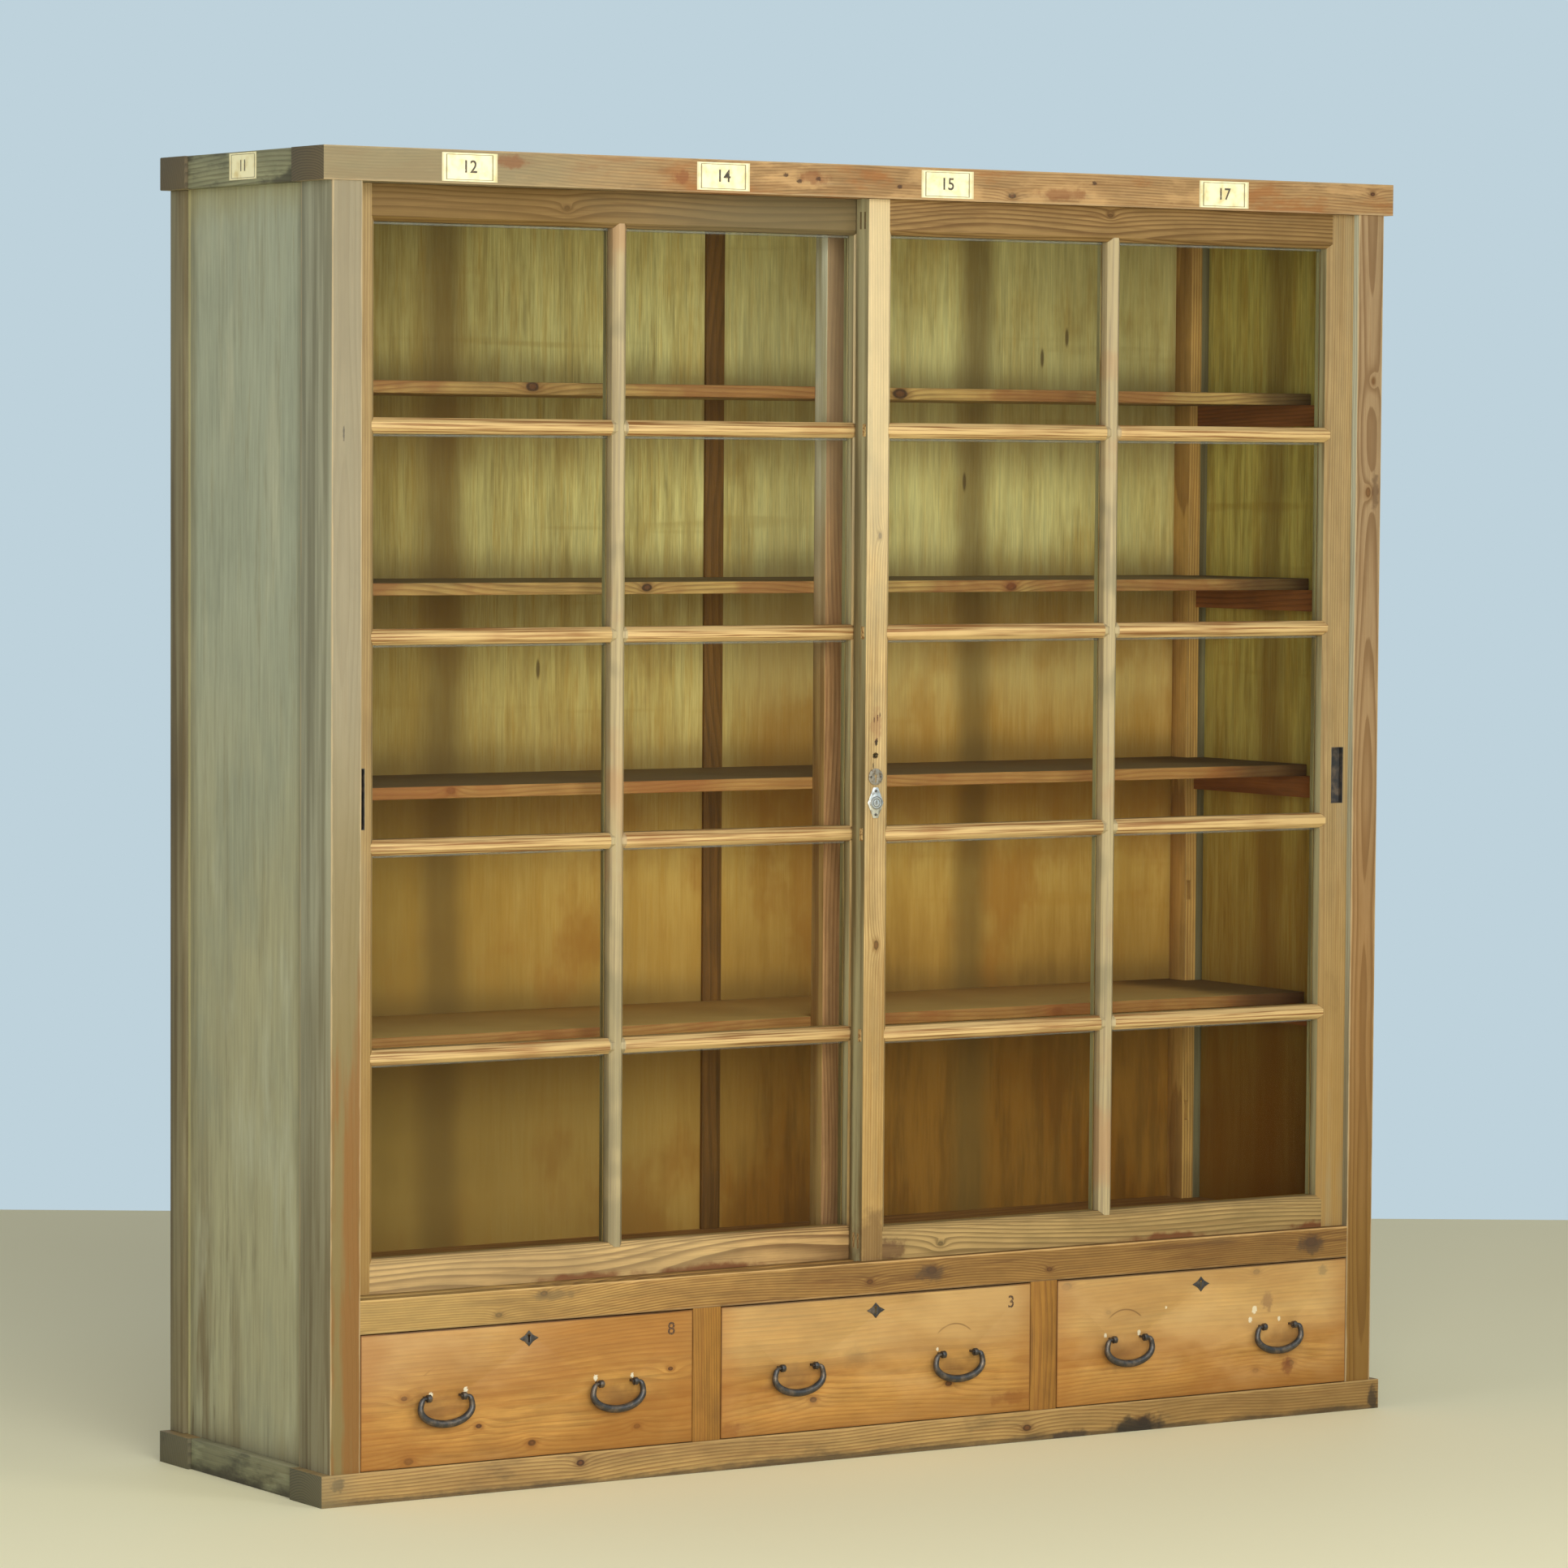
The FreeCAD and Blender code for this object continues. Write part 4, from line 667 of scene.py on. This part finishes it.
def side_ply_finish():
    """Grey-green and weathered outside, still yellow inside."""
    f = Finish("side_ply")
    low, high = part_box("side_panels")
    thread, streak, lumps = ply_colour(f, 31, "d8c66c", "b09240", "a07a36")
    band = (f.cloud((2, 2, 2.2), 67, 4) - 0.5) * 0.06
    f.lay((f.step(abs(f.axes[1] - 0.02 + band), 0.05, 0.01), "785422", 0.6),
          (f.fade("z", 1.45, 0.9, 0.3), "9c6a1e", 0.45),
          (f.fade("z", 1.05, 0.5, 0.3), "7c4606", 0.8))
    rear = f.fade("y", -0.02, 0.22, 0.1)
    low_down = f.fade("z", 1, 0.3, 0.4)
    runs = f.step(f.cloud((44, 44, 2.6), 66, 6, 0.68), 0.55, 0.66)
    drips = runs * (rear * 0.85 + 0.15) * (low_down * 0.9 + 0.1)
    stain = f.step(f.cloud((20, 20, 1.6), 68, 5, 0.6), 0.48, 0.62) * rear * low_down
    pale = f.step(f.cloud((9, 9, 2), 69, 5, 0.6), 0.52, 0.66)
    edge = f.step(abs(f.axes[1] - (low.y + high.y) / 2) - (high.y - low.y) / 2 + lumps * 0.01, -0.03, -0.008)
    groove = f.step(abs(f.axes[1] - high.y + 0.004 + (lumps - 0.5) * 0.004), 0.005, 0.002)
    weathered(f, f.step(abs(f.axes[0]), -low.x - 0.0015, -low.x - 0.0005), thread,
              f.blend(f.fade("z", 0.9, 1.5, 0.4), "a09c7a", "9ea28a"),
              (f.step(lumps, 0.42, 0.72) * 0.6, "8a8e78"),
              (f.step(streak, 0.5, 0.75) * 0.5, "807856"),
              (drips * 0.9, "58482c"),
              (stain * 0.8, "685838"),
              (pale * 0.7, "acac90"),
              (edge * 0.45, "6c6242"),
              (f.fade("z", 0.16, 0.06, 0.12) * 0.85, "5e5030"),
              (f.fade("z", 1.78, 1.86, 0.1) * 0.5, "9c9058"),
              (groove * 0.6, "bcb480"))
    return f.done(thread * 0.1 + 0.6, f.relief(thread * 0.4 + streak, 0.0006, 0.5), Specular_IOR_Level=0.3)


# Metal, glass, paper and paint
def iron_finish():
    """Old blackened iron, browner and brighter where hands rub it."""
    f = Finish("blackened_iron")
    worn = f.cloud(90, 41, 4)
    pits = f.cloud(700, 42, 3)
    f.colour = f.blend(f.step(worn, 0.4, 0.7), "4a4846", "746656")
    f.lay((f.step(pits, 0.55, 0.7), "423226", 0.6))
    return f.done(worn * 0.25 + 0.3, f.relief(pits, 0.0002, 0.6), Metallic=0.75)


def old_steel_finish():
    f = Finish("old_steel")
    rust = f.cloud(220, 44, 4)
    f.colour = f.blend(f.step(rust, 0.45, 0.65), "968e7e", "786852")
    return f.done(rust * 0.3 + 0.35, f.relief(rust, 0.0002, 0.5), Metallic=0.7)


def nickel_finish():
    """Dulled nickel plate over brass."""
    f = Finish("dull_nickel")
    haze = f.cloud(160, 43, 4)
    f.colour = f.blend(f.step(haze, 0.45, 0.75), "d6d6d0", "928a7c")
    # Dark rings in the grooves round the lock plug: painted shade, with grime.
    spot = f.distance((1, 0, 1), LOCK_CENTRE)
    for radius in (5.6, 8.6):
        f.lay((f.step(abs(spot - radius * MM), 0.0009, 0.0004), "544e44", 0.8))
    return f.done(haze * 0.2 + 0.2, f.relief(haze, 0.0001, 0.25), Metallic=0.85)


def glass_finish():
    """Old drawn glass: clear, a little wavy, with a film of dust and a pale line under each bar."""
    f = Finish("old_window_glass")
    dust = f.cloud((14, 14, 6), 45, 4)
    wave = f.cloud((9, 9, 5), 46, 1)
    lines = sum(f.step(abs(f.axes[2] - (top - 0.013)), 0.003, 0) for top in LIGHT_TOPS)
    f.colour = f.blend(lines, "282a26", "96968a")
    shine = f.node("BsdfPrincipled", {
        "Base Color": f.colour, "Roughness": dust * 0.06 + 0.03, "Specular IOR Level": 0.7,
        "Normal": f.relief(wave, 0.002, 0.3)})
    clear = f.node("BsdfTransparent", {"Color": tone("fafcf8")})
    film = dust * 0.02 + lines * dust * 0.8
    share = f.node("LayerWeight", {"Blend": 0.5}, "Facing") ** 5 * 0.8 + 0.02 + film
    mixed = f.node("MixShader", {0: share, 1: clear, 2: shine})
    f.node("OutputMaterial", {"Surface": mixed})
    return f.material


def paper_finish():
    """A cream label with a ruled border, yellowed and a little soiled; the border follows its own map."""
    f = Finish("label_paper")
    u, v, _ = f.split(f.node("TexCoord", {}, "UV"))
    soil = f.cloud(60, 47, 4)
    f.colour = f.blend(f.step(soil, 0.4, 0.75), "f4eec4", "dece96")
    reach = f.maths("MAXIMUM", abs(u - 0.5) * 1.045, abs(v - 0.5))
    f.lay((f.step(abs(reach - 0.435), 0.016, 0.008), "605236", 0.75),
          (f.step(reach, 0.47, 0.5), "c4b88c", 0.6))
    return f.done(soil * 0.2 + 0.6, Specular_IOR_Level=0.2)


def ink_finish(name, colour, wear):
    """Ink or stencil paint, thin where it has worn."""
    f = Finish(name)
    patchy = f.cloud(420, 49, 4)
    f.colour = f.blend(f.step(patchy, 0.4, 0.7), colour, "6e5438")
    cover = f.step(patchy, wear + 0.16, wear)
    return f.done(patchy * 0.2 + 0.6, Alpha=cover * 0.85)


# Shapes
def settle(piece):
    """Turn a piece's modifiers into plain mesh."""
    made = bpy.data.meshes.new_from_object(piece.evaluated_get(bpy.context.evaluated_depsgraph_get()))
    piece.modifiers.clear()
    piece.data = made
    return piece


def add_piece(name, mesh, finish, body, smooth=0.0):
    """A finished piece of the visual model that moves with a body; smooth is an angle in degrees."""
    piece = put(name, mesh)
    mesh.materials.clear()
    mesh.materials.append(finish)
    if smooth:
        mesh.polygons.foreach_set("use_smooth", [True] * len(mesh.polygons))
        mesh.set_sharp_from_angle(angle=math.radians(smooth))
    if body:
        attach(piece, body)
    return piece


def dress(finish, *names):
    """Give CAD nodes a finish."""
    for name in names:
        nodes[name].data.materials.clear()
        nodes[name].data.materials.append(finish)


def eased(node, width, finish):
    """A piece with its sharp arrises eased by hand, standing for its CAD node."""
    mesh = nodes[node].data.copy()
    work = bmesh.new()
    work.from_mesh(mesh)
    bmesh.ops.remove_doubles(work, verts=work.verts, dist=2e-6)
    bmesh.ops.dissolve_limit(work, angle_limit=0.005, verts=work.verts, edges=work.edges)
    work.to_mesh(mesh)
    work.free()
    piece = put(node + ".eased", mesh)
    bevel = piece.modifiers.new("arris", "BEVEL")
    bevel.width = width
    bevel.segments = 2
    bevel.limit_method = "ANGLE"
    bevel.angle_limit = math.radians(40)
    settle(piece)
    mesh = piece.data
    bpy.data.objects.remove(piece)
    piece = add_piece(node + ".eased", mesh, finish, nodes[node]["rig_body"], 50)
    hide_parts(node)
    return piece


class Maker:
    """A tree of geometry nodes with named inputs, which ends in plain mesh of one finish."""

    def __init__(self, name, **inputs):
        self.tree = bpy.data.node_groups.new(name, "GeometryNodeTree")
        face = self.tree.interface
        face.new_socket("Geometry", in_out="INPUT", socket_type="NodeSocketGeometry")
        for label, kind in inputs.items():
            face.new_socket(label, in_out="INPUT", socket_type="NodeSocket" + kind)
        face.new_socket("Geometry", in_out="OUTPUT", socket_type="NodeSocketGeometry")
        self.given = self.tree.nodes.new("NodeGroupInput").outputs

    def node(self, kind, inputs, output=0, **settings):
        made = new_node(self.tree, kind, inputs, settings)
        return made.outputs[output] if made.outputs else None

    def close(self, geometry):
        plain = self.node("GeometryNodeRealizeInstances", {"Geometry": geometry})
        dressed = self.node("GeometryNodeSetMaterial", {"Geometry": plain, "Material": self.given["Finish"]})
        self.node("NodeGroupOutput", {"Geometry": dressed})

    def make(self, name, mesh, finish, body, smooth, **values):
        """Run the tree on a mesh of points and keep the result as a piece on a body."""
        seed_piece = put(name, mesh)
        run = seed_piece.modifiers.new(name, "NODES")
        run.node_group = self.tree
        values["Finish"] = finish
        for item in self.tree.interface.items_tree:
            if item.in_out == "INPUT" and item.name in values:
                run[item.identifier] = values[item.name]
        settle(seed_piece)
        made = seed_piece.data
        bpy.data.objects.remove(seed_piece)
        return add_piece(name, made, finish, body, smooth)


def swept_bar_maker():
    """A bar swept smoothly through its stations, as thick at each as its own measure says."""
    maker = Maker("swept_bar", Sides="Int", Finish="Material")
    line = maker.node("GeometryNodeMeshToCurve", {"Mesh": maker.given["Geometry"]})
    line = maker.node("GeometryNodeCurveSplineType", {"Curve": line}, spline_type="CATMULL_ROM")
    line = maker.node("GeometryNodeSetSplineResolution", {"Geometry": line, "Resolution": 5})
    thickness = maker.node("GeometryNodeInputNamedAttribute", {"Name": "thickness"}, data_type="FLOAT")
    ring = maker.node("GeometryNodeCurvePrimitiveCircle", {"Resolution": maker.given["Sides"], "Radius": 1.0})
    maker.close(maker.node("GeometryNodeCurveToMesh", {
        "Curve": line, "Profile Curve": ring, "Scale": thickness, "Fill Caps": True}))
    return maker


def heads_maker():
    """Domed heads on every point, facing along one direction, each a little different in size."""
    maker = Maker("nail_heads", Radius="Float", Rise="Float", Facing="Vector", Seed="Int", Finish="Material")
    dome = maker.node("GeometryNodeMeshUVSphere", {"Segments": 12, "Rings": 6, "Radius": 1.0})
    given = maker.given
    flat = maker.node("ShaderNodeCombineXYZ", {0: given["Radius"], 1: given["Radius"], 2: given["Rise"]})
    dome = maker.node("GeometryNodeTransform", {"Geometry": dome, "Scale": flat})
    turn = maker.node("FunctionNodeAlignRotationToVector", {"Vector": given["Facing"]}, axis="Z")
    limits = {2: 0.85, 3: 1.12, "Seed": given["Seed"]}
    size = maker.node("FunctionNodeRandomValue", limits, 1, data_type="FLOAT")
    maker.close(maker.node("GeometryNodeInstanceOnPoints", {
        "Points": given["Geometry"], "Instance": dome, "Rotation": turn, "Scale": size}))
    return maker


def points_mesh(name, places):
    mesh = bpy.data.meshes.new(name)
    mesh.from_pydata([tuple(place) for place in places], [], [])
    return mesh


def bail_stations():
    """Half of a bail from the middle of the grip to the pin: across, down, and half the thickness."""
    half_width, drop, belly, turn_radius = 41.0, 37.0, 23.0, 5.5
    stations = []
    for i in range(6):
        turn = math.radians(20 * i)
        heading = math.atan2(belly * math.sin(turn), half_width * math.cos(turn))
        stations.append((half_width * math.sin(turn), belly - drop - belly * math.cos(turn),
                         5.5 - 1.5 * (i / 5) ** 2))
    x, z, thick = stations[-1]
    lift = -z - turn_radius * (1 + math.cos(heading))
    x += lift / math.tan(heading)
    z += lift
    for share in (0.0, 0.5, 1.0):
        angle = heading + (math.pi - heading) * share
        stations.append((x - turn_radius * (math.sin(heading) - math.sin(angle)),
                         z + turn_radius * (math.cos(heading) - math.cos(angle)), 3.9 - 1.7 * share))
    stations.append((23.0, 0.0, 2.2))
    return stations


def bails():
    """The drop handles, forged smooth."""
    maker = swept_bar_maker()
    half = bail_stations()
    line = [(-x, z, thick) for x, z, thick in reversed(half[1:])] + half
    for joint in frame["joints"]:
        if "_bail_" not in joint["name"]:
            continue
        node = joint["child"]
        pivot = Vector(joint["pos_m"])
        mesh = points_mesh(node, [pivot + Vector((x, 0, z)) * MM for x, z, thick in line])
        mesh.edges.add(len(line) - 1)
        mesh.edges.foreach_set("vertices", [i + k for i in range(len(line) - 1) for k in (0, 1)])
        thickness = mesh.attributes.new("thickness", "FLOAT", "POINT")
        thickness.data.foreach_set("value", [thick * MM for x, z, thick in line])
        piece = maker.make(node + ".forged", mesh, iron, node, 60, Sides=20)
        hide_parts(node)


def nails():
    """Small wrought nails: in the escutcheons, the top boards and the back."""
    maker = heads_maker()

    def drive(name, places, body, radius, rise, facing, seed):
        maker.make(name, points_mesh(name, places), iron, body, 60, Radius=radius * MM, Rise=rise * MM,
                   Facing=facing, Seed=seed)

    for drawer in DRAWERS:
        middle = middle_of(drawer + "_lock_bolt").x
        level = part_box(drawer + "_front")[1].z - 21.5 * MM
        places = [(middle + side * 9.6 * MM, FRONT - 1.2 * MM, level) for side in (-1, 1)]
        drive(drawer + ".escutcheon_nails", places, drawer, 1.1, 0.6, (0.0, -1.0, 0.0), 3)
    low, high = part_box("top_boards")
    places = [(low.x + (high.x - low.x) * (board + share) / 6, y, high.z - 0.3 * MM)
              for board in range(6) for share in (0.2, 0.8) for y in (low.y + 7 * MM, high.y - 7 * MM)]
    drive("top_board_nails", places, "cabinet", 2.2, 0.6, (0.0, 0.0, 1.0), 5)
    low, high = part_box("back_panels")
    y = high.y - 0.2 * MM
    places = [(x, y, low.z + (high.z - low.z) * (i + 0.5) / 12)
              for x in (low.x + 6 * MM, high.x - 6 * MM) for i in range(12)]
    places += [(low.x + (high.x - low.x) * (i + 0.5) / 14, y, z)
               for z in (SILL_TOP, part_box("cornice_back_rail")[0].z + 6 * MM)
               for i in range(14) if i not in (6, 7)]
    drive("back_panel_nails", places, "cabinet", 2.0, 0.7, (0.0, 1.0, 0.0), 7)


def slotted_screws(name, places, radius, body, finish):
    """Flat-headed screws with a slot; each place is x, y, z and the slot's turn in degrees."""
    work = bmesh.new()
    for x, y, z, turn in places:
        turned = Matrix.Translation((x, y, z)) @ Matrix.Rotation(math.radians(turn), 4, "Y")
        profile = [(radius, 0.0), (radius, 0.35), (radius * 0.85, 0.6), (radius * 0.4, 0.72)]
        gap = radius * 0.16
        for side in (-1, 1):
            start = math.asin(gap / radius)
            angles = [start + (math.pi - 2 * start) * i / 12 for i in range(13)]
            rows = []
            for reach, rise in profile:
                places = [(reach * math.cos(a), max(reach * math.sin(a), gap)) for a in angles]
                rows.append([work.verts.new(turned @ (Vector((side * u, -rise, side * v)) * MM))
                             for u, v in places])
            for lower, upper in zip(rows, rows[1:]):
                for i in range(12):
                    work.faces.new((lower[i], lower[i + 1], upper[i + 1], upper[i]))
            work.faces.new(rows[-1])
            for i in (0, 12):
                work.faces.new([row[i] for row in rows])
    bmesh.ops.recalc_face_normals(work, faces=work.faces)
    mesh = bpy.data.meshes.new(name)
    work.to_mesh(mesh)
    work.free()
    return add_piece(name, mesh, finish, body, 35)


def label(name, middle, facing, width, height, body, finish):
    """A paper label, very slightly lifted at its corners; facing is the face's outward direction."""
    columns, rows = 12, 6
    along = Vector((-facing.y, facing.x, 0.0))
    verts, faces, spots = [], [], []
    for j in range(rows + 1):
        for i in range(columns + 1):
            u, v = i / columns, j / rows
            lift = 0.35 + 0.9 * max(0.0, abs(u - 0.5) + abs(v - 0.5) - 0.75) ** 2 * 4
            verts.append(middle + along * (u - 0.5) * width + Vector((0, 0, (v - 0.5) * height))
                         + facing * lift * MM)
            spots.append((u, v))
    for j in range(rows):
        for i in range(columns):
            a = j * (columns + 1) + i
            faces.append((a, a + 1, a + columns + 2, a + columns + 1))
    mesh = bpy.data.meshes.new(name)
    mesh.from_pydata(verts, [], faces)
    chart = mesh.uv_layers.new(name="label")
    chart.data.foreach_set("uv", [c for loop in mesh.loops for c in spots[loop.vertex_index]])
    return add_piece(name, mesh, finish, body)


def figures(name, text, middle, facing, size, body, finish, gap):
    """Plain numerals, flat on a face."""
    words = bpy.data.curves.new(name, "FONT")
    words.body = text
    words.size = size
    words.align_x = "CENTER"
    words.align_y = "CENTER"
    words.offset = size * 0.012
    holder = put(name, words)
    mesh = bpy.data.meshes.new_from_object(holder.evaluated_get(bpy.context.evaluated_depsgraph_get()))
    bpy.data.objects.remove(holder)
    along = Vector((-facing.y, facing.x, 0.0))
    stand = Matrix((along, Vector((0, 0, 1)), facing)).transposed().to_4x4()
    mesh.transform(Matrix.Translation(middle + facing * gap) @ stand)
    return add_piece(name, mesh, finish, body)


def labels():
    """The shelf lists glued round the cornice, with plain numbers."""
    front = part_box("cornice_front_rail")[0]
    facing = Vector((0, -1, 0))
    for number, x, wide in (("12", -684.5, 87), ("14", -276.5, 87), ("15", 102.0, 90), ("17", 594.0, 90)):
        middle = Vector((x * MM, front.y, 1820.5 * MM))
        label("cornice_label_" + number, middle, facing, wide * MM, 39 * MM, "cabinet", paper)
        figures("cornice_number_" + number, number, middle, facing, 24 * MM, "cabinet", ink, 0.6 * MM)
    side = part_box("cornice_cross_rails")[0]
    facing = Vector((-1, 0, 0))
    middle = Vector((side.x, FRONT + 236 * MM, 1824.0 * MM))
    label("side_label_11", middle, facing, 80 * MM, 37 * MM, "cabinet", paper)
    figures("side_number_11", "11", middle, facing, 22 * MM, "cabinet", ink, 0.6 * MM)


def drawer_numbers():
    """Stencilled drawer numbers on two of the fronts."""
    for drawer, text, x, z in (("drawer_1", "8", -350.0, 207.0), ("drawer_2", "3", 232.0, 206.0)):
        figures(drawer + ".number", text, Vector((x * MM, FRONT, z * MM)), Vector((0, -1, 0)), 25 * MM,
                drawer, stencil, 0.15 * MM)


# Studio
YAW = math.radians(33.03)
PITCH = math.radians(3.75)
ROLL = math.radians(0.38)


def studio():
    """A plain pale floor, a pale backdrop and soft window light."""
    f = Finish("studio_floor")
    drift = f.cloud(0.6, 51.0, 2.0)
    f.colour = f.blend(drift, "fffad2", "fcf4cb")
    finish = f.done(drift * 0.1 + 0.6, Specular_IOR_Level=0.2)
    turn = Matrix.Rotation(-YAW, 4, "Z")
    mesh = bpy.data.meshes.new("studio_floor")
    mesh.from_pydata([turn @ Vector(c) for c in ((-7, -8, 0), (7, -8, 0), (7, 2.72, 0), (-7, 2.72, 0))], [],
                     [(0, 1, 2, 3)])
    add_piece("studio_floor", mesh, finish, None)

    world = bpy.data.worlds.new("studio")
    bpy.context.scene.world = world
    world.use_nodes = True
    tree = world.node_tree
    tree.nodes.clear()
    rays = tree.nodes.new("ShaderNodeLightPath").outputs
    seen = rays["Is Camera Ray"]
    for other in ("Is Glossy Ray", "Is Transmission Ray"):
        either = new_node(tree, "ShaderNodeMath", {0: seen, 1: rays[other]}, {"operation": "MAXIMUM"})
        seen = either.outputs[0]
    mix = new_node(tree, "ShaderNodeMixShader", {0: seen}, {})
    for slot, colour, strength in ((1, (1.0, 1.0, 1.0, 1.0), 0.32), (2, tone("bed2dc"), 1.0)):
        light = new_node(tree, "ShaderNodeBackground", {"Color": colour, "Strength": strength}, {})
        tree.links.new(light.outputs[0], mix.inputs[slot])
    new_node(tree, "ShaderNodeOutputWorld", {0: mix.outputs[0]}, {})

    for name, place, aim, size, power in (("window", (-2.2, -5.9, 1.9), (0, 0, 0.95), 4.0, 335.0),
                                          ("key", (1.8, -4.8, 3.6), (0, 0, 0.9), 1.6, 45.0),
                                          ("side", (-5.2, -0.6, 2.2), (-0.9, 0, 0.9), 2.6, 42.0)):
        lamp = bpy.data.lights.new(name, "AREA")
        lamp.shape = "SQUARE"
        lamp.size = size
        lamp.energy = power
        holder = put(name, lamp)
        holder.location = place
        holder.rotation_euler = (Vector(aim) - Vector(place)).to_track_quat("-Z", "Y").to_euler()


def camera():
    """The photograph's viewpoint: a long lens, well back, a little above the middle."""
    ahead = Vector((math.sin(YAW) * math.cos(PITCH), math.cos(YAW) * math.cos(PITCH), -math.sin(PITCH)))
    level = ahead.cross(Vector((0, 0, 1))).normalized()
    up = level.cross(ahead)
    right = level * math.cos(ROLL) + up * math.sin(ROLL)
    head = up * math.cos(ROLL) - level * math.sin(ROLL)
    lens = bpy.data.cameras.new("camera")
    lens.sensor_width = 36.0
    lens.lens = 144.62
    lens.shift_x = -0.0093
    lens.shift_y = 0.0612
    lens.clip_end = 60.0
    eye = put("camera", lens)
    eye.matrix_world = (Matrix.Translation((-4.9957, -7.69415, 1.4169))
                        @ Matrix((right, head, -ahead)).transposed().to_4x4())
    bpy.context.scene.camera = eye


# Finishes that several pieces have
cornice_wood = cornice_finish()
plinth_wood = plinth_finish()
side_rail_wood = side_rail_finish()
stile_wood = stile_finish()
rail_wood = rail_finish()
bar_wood = bar_finish()
drawer_wood = drawer_finish()
inner_wood = inner_finish("drawer_side_pine", "y", "bc9462", "885e36", 36)
floor_wood = inner_finish("display_floor_pine", "x", "a87a42", "724a26", 37)
iron = iron_finish()
nickel = nickel_finish()
old_steel = old_steel_finish()
glass = glass_finish()
paper = paper_finish()
ink = ink_finish("label_ink", "423e38", 0.62)
stencil = ink_finish("stencil_ink", "4a3222", 0.52)

# Pieces
for node, width, wood in (
        ("cornice_front_rail", 1.6, cornice_wood), ("cornice_back_rail", 1.6, cornice_wood),
        ("cornice_cross_rails", 1.5, side_rail_wood), ("plinth_front_rail", 1.8, plinth_wood),
        ("plinth_back_rail", 1.8, plinth_wood), ("plinth_side_rails", 1.6, side_rail_wood),
        ("front_posts", 1.2, front_post_finish()), ("rear_posts", 1.2, rear_post_finish()),
        ("door_sill", 1.2, sill_finish()), ("drawer_dividers", 0.7, divider_finish()),
        ("shelves", 1.2, shelf_finish()), ("centre_post", 1.0, centre_post_finish()),
        ("back_battens", 0.8, inner_finish("inner_batten_pine", "z", "845a26", "543616", 29)),
        ("top_boards", 0.8, inner_finish("top_board_pine", "y", "a89470", "786244", 38, SOOT, 0.5))):
    eased(node, width * MM, wood)
dress(side_ply_finish(), "side_panels")
dress(back_ply_finish(), "back_panels")
dress(floor_wood, "display_floor")
dress(inner_finish("shelf_bearer_pine", "y", "a66634", "6e3e1e", 35), "shelf_bearers")
dress(inner_wood, "floor_bearers", "drawer_runners", "drawer_guides")
for door in DOORS:
    eased(door + "_stiles", 0.7 * MM, stile_wood)
    eased(door + "_rails", 0.7 * MM, rail_wood)
    eased(door + "_glazing_bars", 0.5 * MM, bar_wood)
    dress(stile_wood, door + "_glass_beads")
    dress(glass, door + "_panes")
    eased(door + "_pull", 0.3 * MM, iron)
dress(nickel, "door_lock_bolt", "door_lock_strike")
eased("door_lock_case", 0.35 * MM, nickel)
eased("door_lock_plug", 0.2 * MM, nickel)
eased("old_lock_plate", 0.3 * MM, old_steel)
for drawer in DRAWERS:
    eased(drawer + "_front", 0.9 * MM, drawer_wood)
    dress(inner_wood, drawer + "_box")
    dress(floor_wood, drawer + "_bottom")
    eased(drawer + "_ironwork", 0.35 * MM, iron)
    dress(iron, drawer + "_lock_bolt")
bails()
nails()
lock = middle_of("door_lock_plug")
slotted_screws("lock_screws", [(lock.x, FRONT + 10.5 * MM, lock.z + rise * MM, turn)
                               for rise, turn in ((17, 35), (-17, 80))], 2.0, "right_door", iron)
plate_face, plate_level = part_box("old_lock_plate")[0].y, middle_of("old_lock_plate").z
slotted_screws("old_plate_screws", [(lock.x + side * 8.0 * MM, plate_face, plate_level, turn)
                                    for side, turn in ((-1, 20), (1, 115))], 1.6, "right_door", iron)
labels()
drawer_numbers()
studio()
camera()
bpy.context.scene.view_settings.view_transform = "Standard"
